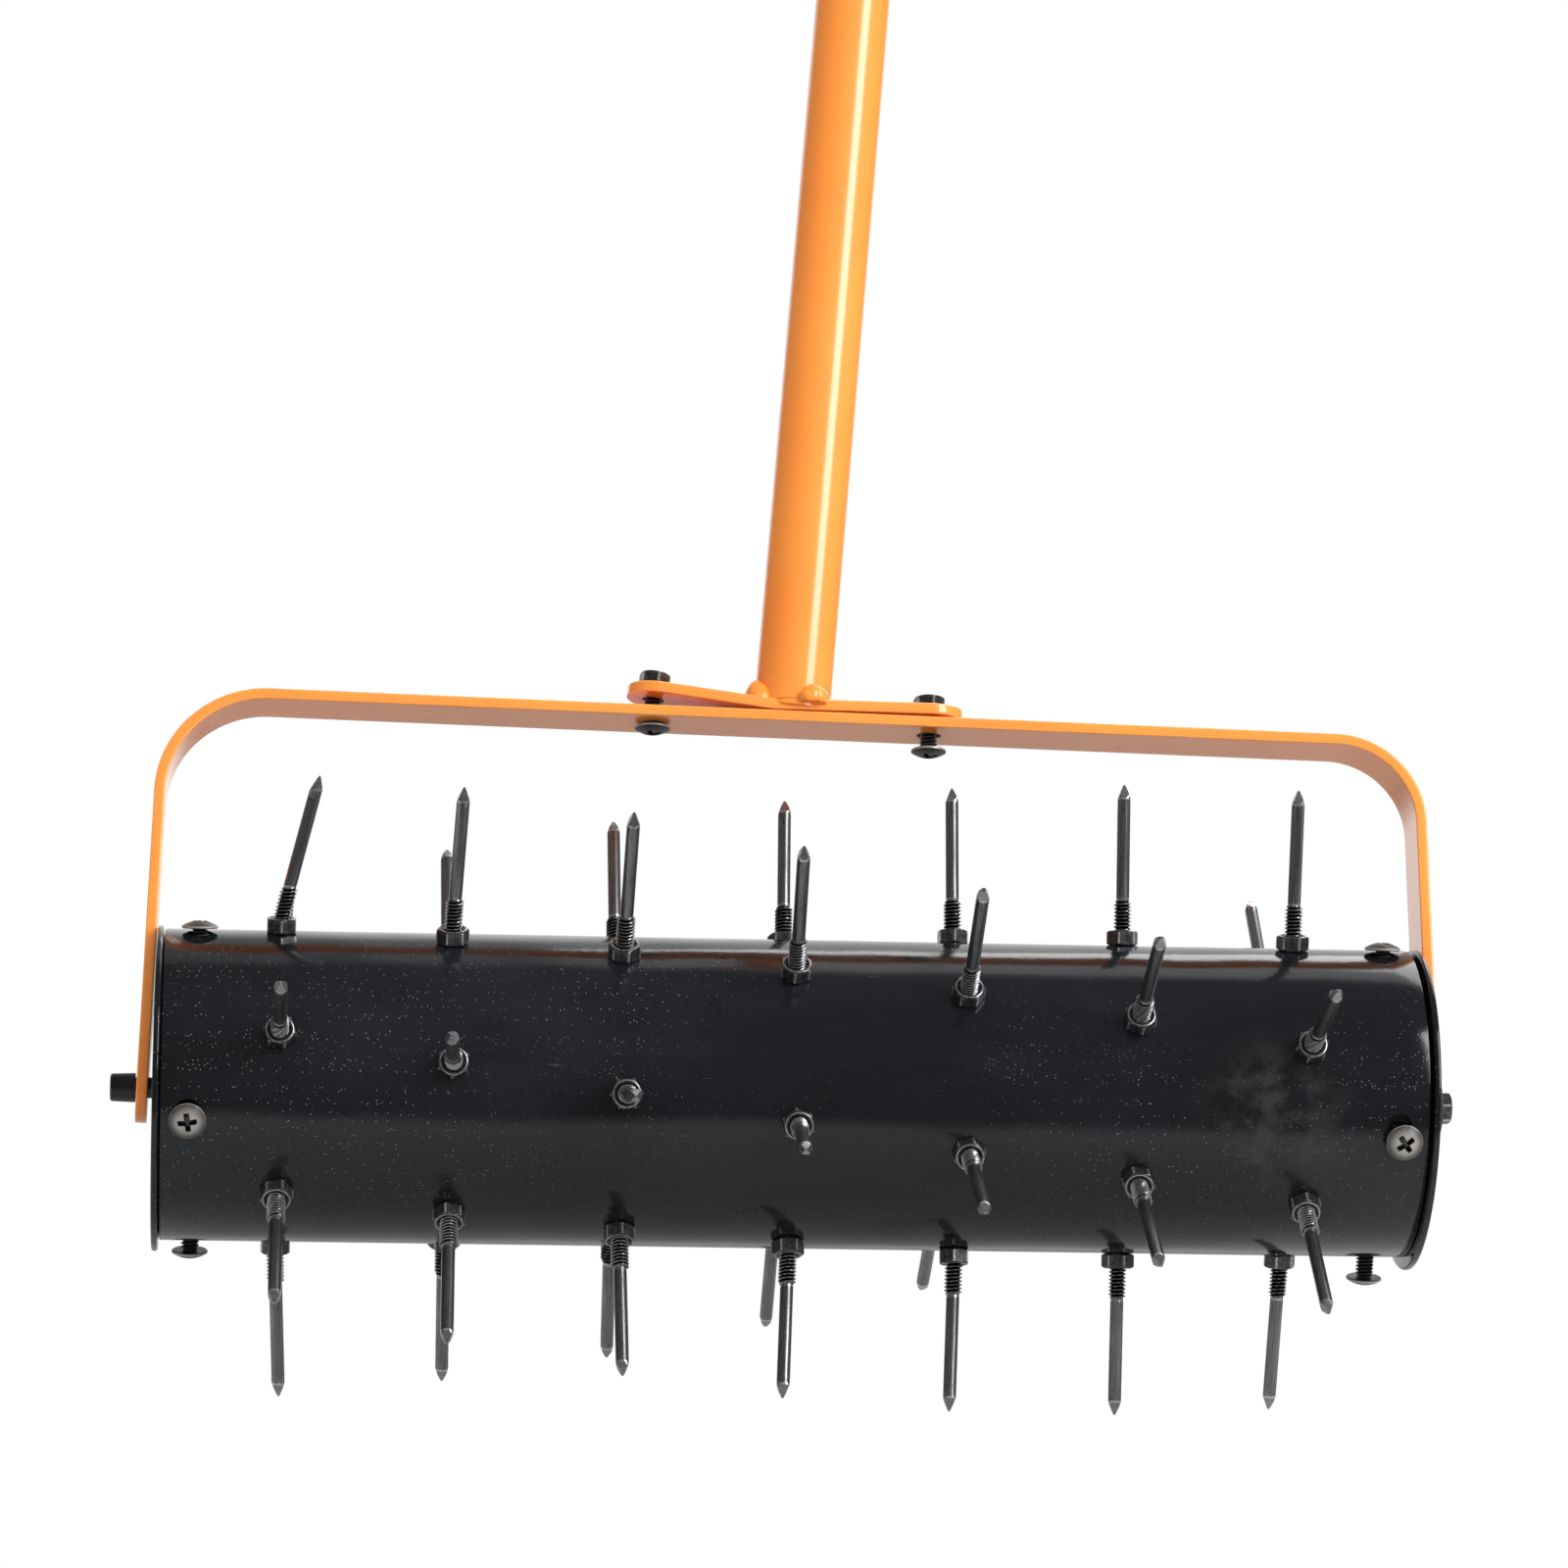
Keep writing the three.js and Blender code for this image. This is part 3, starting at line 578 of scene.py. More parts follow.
def angles_round(sides):
    """Evenly spaced angles over one turn, in radians."""
    return np.linspace(0, 2 * np.pi, sides, endpoint=False)


def ring_points(radius, angle, height):
    """Points at x = r cos a, y = r sin a and z = height, on a grid of rows and columns."""
    return np.stack([radius * np.cos(angle), radius * np.sin(angle), height + 0 * radius * angle], axis=-1)


def lathe(profile, sides, looped=False, finish=0):
    """A profile of radius and height turned about +Z: x = r cos a, y = r sin a, z = height."""
    radius, height = np.asarray(profile, float).T[:, :, None]
    return Skin(ring_points(radius, angles_round(sides), height), looped, finish=finish)


def rounded(corners, radii, steps=5):
    """A profile with each corner replaced by a quadratic curve that starts and ends its radius away."""
    corners = np.asarray(corners, float)
    share = np.linspace(0, 1, steps)[:, None]
    points = [corners[:1]]
    for before, here, after, radius in zip(corners, corners[1:], corners[2:], radii):
        to_before = (before - here) / np.linalg.norm(before - here) * radius
        to_after = (after - here) / np.linalg.norm(after - here) * radius
        points.append(here + to_before * (1 - share) ** 2 + to_after * share**2)
    return np.concatenate([*points, corners[-1:]])


def pipe(outer, inner, bottom, top, sides, rounding=TUBE_EDGE):
    """A tube wall: a rectangle in radius and height, its four corners rounded, turned about +Z."""
    start = (inner, (bottom + top) / 2)
    corners = [start, (inner, bottom), (outer, bottom), (outer, top), (inner, top), start]
    return lathe(rounded(corners, [rounding] * 4, 4)[:-1], sides, looped=True)


def hexagon(across, bottom, top, bore, finish=0):
    """A nut: at each angle and height the radius is the lesser of a hexagon's and of a cone's at each end.

    The cones leave a round face at both ends and cut the corners to arcs. bore is the hole's radius. The
    edge is 1 where a cone meets its face, and at the corners between the cones.
    """
    angle = angles_round(60)
    flat = across / 2
    corner = flat / math.cos(math.pi / 6)
    hexagonal = flat / np.cos((angle + np.pi / 6) % (np.pi / 3) - np.pi / 6)
    cone = np.linspace(flat * NUT_FACE_SHARE, corner, NUT_CONE_ROWS)
    rise = (cone - cone[0]) * math.tan(math.pi / 6)
    face = flat * (NUT_FACE_SHARE - 0.04)
    low = [(bore, NUT_SINK), (bore + NUT_SINK, 0), (face, 0), *zip(cone, rise)]
    profile = [(radius, bottom + height) for radius, height in low]
    profile += [(radius, top - height) for radius, height in low[::-1]]
    radius, height = np.array(profile).T[:, :, None]
    edge = np.zeros((len(profile), len(angle)))
    near_corner = np.clip(1 - (corner - hexagonal) / NUT_WEAR_AND_HIGHLIGHT_WIDTH, 0, 1)
    edge[[len(low) - 1, len(low)]] = near_corner
    edge[[len(low) - NUT_CONE_ROWS, NUT_CONE_ROWS - 1 - len(low)]] = 1
    return Skin(ring_points(np.minimum(radius, hexagonal), angle, height), True, edge, finish)


def thread_ridge(angle, height, start, end):
    """Two shares: the ridge, 1 on the crest of a thread and 0 in its groove, and the groove, 1 there.

    The crest is a helix, where height / pitch - angle / turn is a whole number and a half. Both shares
    fade out over a pitch at each end.
    """
    phase = (height / THREAD_PITCH - angle / (2 * np.pi)) % 1
    ridge = np.clip(1.4 * (1 - np.abs(2 * phase - 1)) - 0.2, 0, 1)
    fade = np.clip((height - start) / THREAD_PITCH, 0, 1) * np.clip((end - height) / THREAD_PITCH, 0, 1)
    return ridge * fade, (1 - ridge) * fade


def thread_radius(ridge):
    """From the thread's root in its groove to its full radius on its crest."""
    return THREAD_ROOT + (THREAD_RADIUS - THREAD_ROOT) * ridge


def threaded_rod(bottom, top):
    """A thread about +Z with plain round ends. Its edge is below 0, most in the groove."""
    rows = max(int((top - bottom) / THREAD_PITCH * 8), 2)
    height = np.linspace(bottom, top, rows)[:, None]
    angle = angles_round(24)
    ridge, groove = thread_ridge(angle, height, bottom, top)
    radius = thread_radius(ridge)
    radius[[0, -1]] = THREAD_ROOT * 0.8
    return Skin(ring_points(radius, angle, height), edge=-0.12 - 0.6 * groove)


def cross_head(bottom, turn):
    """A domed head about +Z with a cross sunk in it.

    The dome's height falls with the square of the radius. The cross is two bars: inside each, the depth
    grows from its ends to the middle, and its walls slope over a short width.
    """
    shares = np.linspace(1, 0, 44)[:, None]
    angle = angles_round(96)
    radius = HEAD_RADIUS * shares
    dome = HEAD_EDGE + (HEAD_HEIGHT - HEAD_EDGE) * (1 - shares**2)
    x = np.abs(radius * np.cos(angle - math.radians(turn)))
    y = np.abs(radius * np.sin(angle - math.radians(turn)))

    def bar(along, across):
        inside = np.clip((CROSS_HALF_WIDTH - across) / CROSS_WALL, 0, 1)
        return inside * np.clip((CROSS_REACH - along) / (CROSS_REACH * CROSS_SLOPE_SHARE), 0, 1)

    depth = CROSS_DEPTH * np.maximum(bar(x, y), bar(y, x))
    under = np.array([(0, 0), (HEAD_RADIUS - HEAD_EDGE / 2, 0), (HEAD_RADIUS, HEAD_EDGE / 3)])
    underside = ring_points(under[:, :1], angle, bottom + under[:, 1:])
    top = ring_points(radius, angle, bottom + dome - depth)
    edge = np.zeros((len(under) + len(top), angle.size))
    edge[[len(under) - 1, len(under)]] = 1
    edge[len(under) + 1:] = -np.clip(depth[1:] / 0.6, 0, 1)
    return Skin(np.concatenate([underside, top]), edge=edge)


def bent_path(corners, radii):
    """Points and directions along straight runs in X and Z, with an arc round each inner corner.

    An arc starts and ends its radius times tan(turn / 2) from its corner.
    """
    corners = np.asarray(corners, float)
    runs = [(after - before) / np.linalg.norm(after - before) for before, after in zip(corners, corners[1:])]
    points, ahead = [], []
    start = corners[0]

    def go_straight(end, run):
        count = max(int(np.linalg.norm(end - start) / PATH_SPACING), 2)
        points.append(start + (end - start) * np.linspace(0, 1, count, endpoint=False)[:, None])
        ahead.append(np.repeat(run[None, :], count, axis=0))

    for corner, run, leaving, radius in zip(corners[1:], runs, runs[1:], radii):
        turn = math.atan2(run[0] * leaving[1] - run[1] * leaving[0], run @ leaving)
        end = corner - run * radius * math.tan(abs(turn) / 2)
        go_straight(end, run)
        side = math.copysign(1, turn)
        left = np.array([-run[1], run[0]])
        centre = end + left * side * radius
        swept = turn * np.linspace(0, 1, ARC_STEPS, endpoint=False)[:, None]
        points.append(centre - side * radius * (left * np.cos(swept) - run * np.sin(swept)))
        ahead.append(run * np.cos(swept) + left * np.sin(swept))
        start = centre - side * radius * (left * math.cos(turn) - run * math.sin(turn))
    go_straight(corners[-1], runs[-1])
    return np.concatenate([*points, corners[-1:]]), np.concatenate([*ahead, runs[-1:]])


def flat_bar(points, ahead, half_widths, thickness):
    """A rounded rectangle carried along a path in X and Z, square to it, with its width set at each point."""
    corner = BAR_ROUNDING
    half = BAR_WIDTH / 2
    arc = np.linspace(0, np.pi / 2, 5)
    across, up, edge = [], [], []
    for quarter in range(4):
        angle = arc + quarter * np.pi / 2
        side = math.copysign(1, math.cos(angle.mean()))
        rise = math.copysign(1, math.sin(angle.mean()))
        across += list(side * (half - corner) + corner * np.cos(angle))
        up += list(rise * (thickness / 2 - corner) + corner * np.sin(angle))
        edge += [0, 1, 1, 1, 0]
        if quarter in (0, 2):
            across += list(side * (half - corner) * np.linspace(0.9, -0.9, 7))
            up += [rise * thickness / 2] * 7
            edge += [0] * 7
    across, up = np.array(across) / half, np.array(up)
    normal = np.stack([-ahead[:, 1], ahead[:, 0]], axis=-1)
    x = points[:, :1] + normal[:, :1] * up
    z = points[:, 1:] + normal[:, 1:] * up
    y = half_widths[:, None] * across
    return Skin(np.stack([x, y, z], axis=-1), edge=np.array(edge))


def round_start(points, ahead, half_widths):
    """Lays extra points near a path's start, with the half widths that make that end of the bar full round.

    The half width is a radius times sin a where the point is the radius times (1 - cos a) from the start.
    The path comes back the other way round, so that a second call does its other end.
    """
    radius = BAR_WIDTH / 2
    angle = np.linspace(0, np.pi / 2, 15)
    near = points[0] + ahead[0] * radius * (1 - np.cos(angle))[:, None]
    keep = np.linalg.norm(points - points[0], axis=1) > radius * 1.02
    points = np.concatenate([near, points[keep]])
    ahead = np.concatenate([np.repeat(ahead[:1], len(near), axis=0), ahead[keep]])
    half_widths = np.concatenate([radius * np.sin(angle), half_widths[keep]])
    return points[::-1], -ahead[::-1], half_widths[::-1]


def strip(corners, bend_radii, thickness):
    """A flat bar along bent straight runs, both ends full round."""
    points, ahead = bent_path(corners, bend_radii)
    path = round_start(points, ahead, np.full(len(points), BAR_WIDTH / 2))
    return flat_bar(*round_start(*path), thickness)


# Pieces

def in_scene(name, data):
    """A new object of the scene for a mesh, a lamp or the camera."""
    made = bpy.data.objects.new(name, data)
    bpy.context.scene.collection.objects.link(made)
    return made


def make(name, skins, finishes, body, replaces=()):
    """One piece from its skins, moved from the axle to its place on the floor, riding on a body."""
    mesh = bpy.data.meshes.new(name)
    counts = np.cumsum([0] + [len(skin.points) for skin in skins])
    points = np.concatenate([skin.points for skin in skins])
    faces = [[n + first for n in face] for skin, first in zip(skins, counts) for face in skin.faces]
    mesh.from_pydata(((points + AXLE) * MM).tolist(), [], faces)
    own = mesh.attributes.new("own", "FLOAT_VECTOR", "POINT")
    own.data.foreach_set("vector", np.concatenate([skin.own for skin in skins]).ravel())
    edge = mesh.attributes.new("edge", "FLOAT", "POINT")
    edge.data.foreach_set("value", np.concatenate([skin.edge for skin in skins]))
    mesh.polygons.foreach_set("material_index", [skin.finish for skin in skins for _ in skin.faces])
    for finish in finishes:
        mesh.materials.append(finish)
    close(mesh)
    piece = in_scene(name, mesh)
    if body:
        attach(piece, body)
    if replaces:
        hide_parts(*replaces)
    return piece


def close(mesh):
    """Merges points that lie on one another, turns all faces outwards and smooths all but sharp corners."""
    shape = bmesh.new()
    shape.from_mesh(mesh)
    bmesh.ops.remove_doubles(shape, verts=shape.verts, dist=1e-7)
    bmesh.ops.recalc_face_normals(shape, faces=shape.faces)
    shape.to_mesh(mesh)
    shape.free()
    mesh.shade_smooth()
    mesh.set_sharp_from_angle(angle=math.radians(SHARP_ANGLE))


def rod(radius, bottom, top, sides=48, finish=0):
    """A closed rod about +Z: the axle's shank, a spike's head, or what a hole is cut with."""
    return lathe([(0, bottom), (radius, bottom), (radius, top), (0, top)], sides, finish=finish)


def drill(piece, skins):
    """Cuts closed skins out of a piece."""
    cutter = make(piece.name + "_cutter", skins, [], None)
    modifier = piece.modifiers.new("holes", "BOOLEAN")
    modifier.object = cutter
    modifier.solver = "EXACT"
    bpy.context.view_layer.update()
    evaluated = piece.evaluated_get(bpy.context.evaluated_depsgraph_get())
    mesh = bpy.data.meshes.new_from_object(evaluated)
    piece.modifiers.clear()
    piece.data = mesh
    mesh.name = piece.name
    mesh.set_sharp_from_angle(angle=math.radians(SHARP_ANGLE))
    bpy.data.objects.remove(cutter)


# Drum

def outwards(angle):
    """Turns +Z to an angle round the axle, counted upwards from the front."""
    return turned("X", 90 - angle)


def drum_tube():
    """The wall's rounded rectangle turned about the axle, and the holes for the cap screws.

    Each front hole is drawn out by a second one a little higher up.
    """
    half = DRUM_LENGTH / 2
    inner = DRUM_RADIUS - DRUM_WALL
    reach = half - DRUM_PLAIN_END
    outer = [(DRUM_RADIUS, z) for z in np.linspace(-reach, reach, DRUM_ROWS)]
    corners = [(inner, 0), (inner, -half), (DRUM_RADIUS, -half), *outer]
    corners += [(DRUM_RADIUS, half), (inner, half), (inner, 0)]
    wall = lathe(rounded(corners, [TUBE_EDGE] * (len(corners) - 2), 3)[:-1], 256, looped=True)
    wall.moved(ALONG_AXLE, DRUM_CENTRE)
    tube = make("drum_skin", [wall], [BLACK], "drum", ["drum_tube"])
    holes, drawn_out = [], []
    for side, screws in CAP_SCREWS.items():
        for number, (angle, inset, _, _, _) in enumerate(screws):
            x, z = DRUM_CENTRE[0] + side * (half - inset), 0
            if side > 0:
                x += ASKEW_SHIFT + DRUM_RADIUS * sine(angle) * sine(ASKEW_TIP)
                z = -ASKEW_DROP
            hole = rod(CAP_HOLE_RADIUS, CAP_HOLE_FROM, CAP_HOLE_TO)
            holes.append(hole.moved(outwards(angle), (x, 0, z)))
            if number == 0:
                hole = rod(FRONT_HOLE_RADIUS, CAP_HOLE_FROM, CAP_HOLE_TO)
                hole.moved(outwards(angle + FRONT_HOLE_RISES[side]), (x + FRONT_HOLE_SHIFTS[side], 0, z))
                drawn_out.append(hole)
    drill(tube, holes)
    drill(tube, drawn_out)


def spike(label):
    """One spike, its head and its lock nut, placed by its solid's head and its furthest corner, the tip.

    About +Z the radius is the thread's, then the shank's, and at the point the lesser of the shank's and of a
    square pyramid's with slightly convex sides. Above the nut the middle leans off with the height.
    """
    name = "spike_" + label
    points = node_points(name) - [0, 0, DRUM_CENTRE[2]]
    away = points.mean(axis=0) * (0, 1, 1)
    heights = points @ (away / np.linalg.norm(away))
    ring = points[heights < heights.min() + 1]
    foot = ring.mean(axis=0)
    angle = math.degrees(math.atan2(foot[2], -foot[1]))
    turn = outwards(angle)
    tip = (points[heights.argmax()] - foot) @ turn
    lean = tip[:2] + TIP_NUDGES.get(label, (0, 0))
    base = np.hypot(foot[1], foot[2])
    head_corner = (ring[0] - foot) @ turn
    nut_turn = math.degrees(math.atan2(head_corner[1], head_corner[0]))
    nut_bottom = DRUM_RADIUS + 0.05
    nut_top = nut_bottom + NUT_HEIGHT
    tip_height = base + tip[2]
    thread_end = nut_top + THREAD_ABOVE_NUT

    around = angles_round(24)
    inside = [base + 1, nut_top - 2 * THREAD_PITCH]
    threads = np.linspace(nut_top - 1.9 * THREAD_PITCH, thread_end, THREAD_ROWS)[:, None]
    shank = np.linspace(thread_end + 0.7, tip_height - POINT_LENGTH - 0.3, SHANK_ROWS - 1)
    point = np.linspace(tip_height - POINT_LENGTH, tip_height, POINT_ROWS)[:, None]
    facets = np.maximum(np.abs(np.cos(around)), np.abs(np.sin(around)))
    swell = ((tip_height - point) / POINT_LENGTH) ** POINT_SWELL
    square = POINT_TOP + (SHANK_RADIUS * POINT_FOOT_SHARE - POINT_TOP) * swell
    pointed = np.minimum(SHANK_RADIUS + POINT_SHOULDER, square / facets * POINT_WIDTH_SHARE)
    pointed[-1] = 0
    ridge, groove = thread_ridge(around, threads, threads[0], thread_end)
    radius = np.concatenate([
        np.full((len(inside), len(around)), THREAD_ROOT * 0.9),
        thread_radius(ridge),
        np.full((SHANK_ROWS, len(around)), SHANK_RADIUS),
        pointed,
    ])
    height = np.concatenate([inside, threads[:, 0], [thread_end + 0.4], shank, point[:, 0]])[:, None]
    share = np.clip((height - nut_top) / (tip_height - nut_top), 0, 1) ** LEAN_BEND
    straight = ring_points(radius, around, height)
    leaning = straight + share[:, :, None] * [lean[0], lean[1], 0]
    first_shank = len(inside) + THREAD_ROWS
    edge = np.zeros(radius.shape)
    # The edge marks where the finishes paint light and shade: below 0 in the thread's grooves for painted
    # shade, and rings at the thread's end and at the point's shoulder for painted highlights.
    edge[len(inside):first_shank] = -groove
    edge[[first_shank - 1, first_shank]] = 0.7
    edge[-POINT_ROWS] = 0.8
    body = Skin(leaning[:-POINT_ROWS], False, edge[:-POINT_ROWS], 0)
    body.own = straight[:-POINT_ROWS].reshape(-1, 3)
    top = Skin(leaning[-POINT_ROWS - 1:], False, edge[-POINT_ROWS - 1:], 1)
    body.faces.pop()
    top.faces.pop(-2)
    nut = hexagon(NUT_ACROSS, nut_bottom, nut_top, NUT_BORE, 2)
    nut.moved(turned("Z", nut_turn + 30))
    head = rod(NUT_ACROSS / math.sqrt(3), base, base + BOLT_HEAD_HEIGHT, 6, 2)
    head.moved(turned("Z", nut_turn))
    skins = [body, top, nut, head]
    for skin in skins:
        skin.moved(turn, (foot[0], 0, DRUM_CENTRE[2]))
    make("pointed_" + label, skins, [SPIKE, POINT, NUT], "drum", [name])


def cap_place(side):
    """Place of a cap on the axle: the tube's end, and a little beyond it at the right."""
    return DRUM_CENTRE[0] + side * DRUM_LENGTH / 2 + (ASKEW_SHIFT if side > 0 else 0)


def on_cap(skin, side):
    """Puts a skin that was built at the tube's end on the cap, which stands askew at the right."""
    if side > 0:
        return skin.moved(turned("Y", ASKEW_TIP), (cap_place(side), 0, -ASKEW_DROP))
    return skin.moved(None, (cap_place(side), 0, 0))


def end_cap(name, side):
    """A dished disc with a rolled rim and a skirt, turned about the axle from its profile, and its screws."""
    rim = DRUM_RADIUS + CAP_OVERHANG
    outer = CAP_GAP + CAP_THICKNESS
    skirt = DRUM_RADIUS - DRUM_WALL - DRUM_CENTRE[2] - CAP_SLACK - FIT
    depth = 2 * CAP_SCREWS[-1][0][1] + THREAD_RADIUS
    inner_wall = skirt - CAP_SKIRT_WALL
    hub = BUSH_RADIUS + CAP_SLACK
    dish = CAP_DISH_RADIUS - CAP_DISH_SLOPE
    sunk = CAP_GAP - CAP_DISH_DEPTH
    face = outer - CAP_DISH_DEPTH
    start = (hub, (outer + CAP_GAP) / 2 - CAP_DISH_DEPTH)
    corners = [start, (hub, face), (dish, face), (CAP_DISH_RADIUS, outer), (rim, outer), (rim, CAP_GAP)]
    corners += [(skirt, CAP_GAP - 0.2), (skirt, -depth), (inner_wall, -depth), (inner_wall, CAP_GAP)]
    corners += [(CAP_DISH_RADIUS + 0.4, CAP_GAP), (dish + 0.4, sunk), (hub, sunk), start]
    radii = [0.3, 1.2, 1.2, CAP_ROUNDING, CAP_ROUNDING, 0.3, 0.3, 0.3, 0.8, 0.8, 0.8, 0.3]
    disc = lathe(rounded(corners, radii, 6)[:-1], 192, looped=True)
    pressing = on_cap(disc.moved(turned("Y", 90 * side)), side)
    make(name + "_pressing", [pressing], [BLACK], "drum", [name])
    rise = DRUM_CENTRE[2] + (ASKEW_DROP if side > 0 else 0)
    for number, (angle, inset, standout, lean, turn) in enumerate(CAP_SCREWS[side]):
        surface = DRUM_RADIUS + rise * sine(angle)
        bottom = FIT + standout
        shank = threaded_rod(inner_wall - 8 - surface, bottom + HEAD_EDGE / 2)
        head = cross_head(bottom, turn)
        for skin in (shank, head):
            skin.moved(outwards(angle + lean)).moved(None, outwards(angle) @ (0, 0, surface))
            on_cap(skin.moved(None, (-side * inset, 0, 0)), side)
        # The front screw of each cap takes the lit copy, painted lighter because it faces the light.
        metal = SCREW if number else LIT_FRONT_SCREW
        make(f"{name}_screw_{number + 1}", [shank, head], [metal], "drum")


def hub_bush(name, side):
    """A flanged bush in the cap, its profile turned about the axle."""
    seat = CAP_GAP + CAP_THICKNESS - CAP_DISH_DEPTH + FIT
    foot = seat - BUSH_LENGTH
    top = seat + BUSH_FLANGE
    bore = AXLE_RADIUS + FIT
    corners = [(bore, seat), (bore, foot), (BUSH_RADIUS, foot), (BUSH_RADIUS, seat)]
    corners += [(BUSH_FLANGE_RADIUS, seat), (BUSH_FLANGE_RADIUS, top), (bore, top), (bore, seat)]
    bush = lathe(rounded(corners, [0.3, 0.4, 0.1, 0.3, 0.8, 0.4], 5)[:-1], 64, looped=True)
    bush.moved(turned("Y", 90 * side), (cap_place(side), 0, 0))
    make(name + "_moulding", [bush], [NYLON], "drum", [name])


# Yoke and axle

def make_orange(name, skins, node):
    """A painted piece of the yoke or the handle, in place of a solid or of some of one."""
    return make(name, skins, [ORANGE], "frame", [node])


def yoke():
    """The flat bar, bent round the drum: two splayed arms, two bends and a top sloping down to the right."""
    splays = {side: slope(splay) for side, splay in ARM_SPLAYS.items()}
    fall = slope(BAR_SLOPE)
    bottom = -BAR_WIDTH / 2
    left_splay = math.radians(ARM_SPLAYS[-1])
    foot = -YOKE_LOW[0] + bottom * splays[-1] - BAR_THICKNESS / 2 / math.cos(left_splay)
    middle = BAR_TOP - BAR_THICKNESS / 2

    def corner(side):
        height = (middle - side * foot * fall) / (1 - side * splays[side] * fall)
        return side * (foot - height * splays[side]), height

    feet = [(side * (foot - bottom * splays[side]), bottom) for side in (-1, 1)]
    corners = [feet[0], corner(-1), corner(1), feet[1]]
    radii = [radius - BAR_THICKNESS / 2 for radius in BEND_RADII]
    bar = strip(corners, radii, BAR_THICKNESS)
    piece = make_orange("yoke_bar", [bar], "yoke")
    drill_for_screws(piece, BAR_HOLE_RADIUS, -3 * BAR_THICKNESS, 3 * BAR_THICKNESS)


def drill_for_screws(piece, radius, bottom, top):
    """Cuts the two holes that the plate's screws pass through."""
    drill(piece, [on_bar(rod(radius, bottom, top), side * SCREW_PLACE) for side in (-1, 1)])


def on_bar(skin, x=0, height=0):
    """Puts a skin on the bar's sloping upper face, at a place along it from the handle's middle."""
    return skin.moved(None, (x + HANDLE_SHIFT, 0, height)).moved(turned("Y", BAR_SLOPE), (0, 0, BAR_TOP))


def on_handle(skin, height):
    """Puts a skin at a height up the leaning handle."""
    return on_bar(skin.moved(None, (0, 0, height)).moved(turned("Y", HANDLE_LEAN)))


def axle_pieces():
    """The bolt's hex head and shank, the washer under the head and the sleeve nut at the far end."""
    bolt_low, bolt_high = node_box("axle_bolt")
    washer_low = node_box("axle_washer")[0]
    sleeve_low, sleeve_high = node_box("axle_sleeve_nut")
    head = hexagon(AXLE_HEAD_ACROSS, bolt_high[0] - AXLE_HEAD_HEIGHT, bolt_high[0], SOLID_BORE)
    shank = rod(AXLE_RADIUS, bolt_low[0], bolt_high[0] - AXLE_SHANK_INSET)
    bolt = [skin.moved(ALONG_AXLE) for skin in (head, shank)]
    make("axle_bolt_steel", bolt, [NUT], "frame", ["axle_bolt"])
    ring = pipe(WASHER_RADIUS, AXLE_RADIUS + FIT, 0, WASHER_THICKNESS, 48, 0.15)
    ring.moved(ALONG_AXLE, (washer_low[0], 0, 0))
    make("axle_washer_steel", [ring], [SCREW], "frame", ["axle_washer"])
    bore = AXLE_RADIUS + FIT
    depth = sleeve_high[0] - sleeve_low[0]
    corners = [(0, SLEEVE_WALL), (bore, SLEEVE_WALL), (bore, depth)]
    corners += [(SLEEVE_RADIUS + 0.15, depth), (SLEEVE_RADIUS - 0.1, 0), (0, 0)]
    sleeve = lathe(rounded(corners, [0.1, 0.1, 0.15, 0.9], 6), 64)
    sleeve.moved(ALONG_AXLE, (sleeve_low[0], 0, 0))
    make("axle_sleeve", [sleeve], [NYLON], "frame", ["axle_sleeve_nut"])


# Handle

def plate_lift(x):
    """Height of the plate's underside above the bar, at a place along it."""
    wing = x - PLATE_BEND_OFFSET
    return FIT + abs(wing) * slope(PLATE_LIFT_LEFT if wing < 0 else PLATE_LIFT_RIGHT)


def weld_bead():
    """The weld round the tube's foot: a rippled ring whose oval section swells at each tack and at one side.

    A swell is 1 - (angle away / half width) squared, and its root at a tack. The ring is cut flat below.
    """
    around = np.radians(np.arange(0, 360, 1.5))[:, None]
    section = angles_round(32)

    def swell(angle, half_width):
        away = np.abs((np.degrees(around) - angle + 180) % 360 - 180)
        return np.clip(1 - (away / half_width) ** 2, 0, 1)

    thickness = np.full(around.shape, WELD_THICKNESS)
    rise = np.full(around.shape, WELD_RISE)
    for angle, size, lift, half_width in WELD_TACKS:
        thickness = np.maximum(thickness, size * swell(angle, half_width) ** 0.5)
        rise = np.maximum(rise, lift * swell(angle, half_width) ** 0.3)
    side = WELD_SIDE_THICKNESS * swell(WELD_SIDE_ANGLE, WELD_SIDE_HALF_WIDTH)
    ripple = 1 + 0.015 * np.sin(around * 46) + 0.03 * np.sin(around * 17 + 2 * section)
    wide = np.maximum(thickness, side) * ripple
    radius = TUBE_RADIUS - 0.2 + wide * 0.25 + wide * np.cos(section)
    height = np.maximum(wide * 0.1 + wide * rise * np.sin(section), -WELD_SAG)
    return Skin(ring_points(radius, around, height), True)


def handle_base():
    """The plate with its raised left wing, the lower tube and the weld between them."""
    half = PLATE_LENGTH / 2
    middle = PLATE_THICKNESS / 2
    ends = (PLATE_SHIFT - half, PLATE_BEND_OFFSET, PLATE_SHIFT + half)
    corners = [(x, plate_lift(x) + middle) for x in ends]
    wings = on_bar(strip(corners, [PLATE_BEND_RADIUS], PLATE_THICKNESS))
    plate = make_orange("base_plate", [wings], "handle_base")
    drill_for_screws(plate, THREAD_RADIUS + 2 * FIT, -3, 15)
    tube = on_handle(pipe(TUBE_RADIUS, TUBE_RADIUS - TUBE_WALL, middle, LOWER_TUBE_LENGTH, 128), 0)
    make_orange("lower_tube", [tube], "handle_base")
    bead = on_bar(weld_bead(), 0, plate_lift(0) + PLATE_THICKNESS)
    make_orange("foot_weld", [bead], "handle_base")


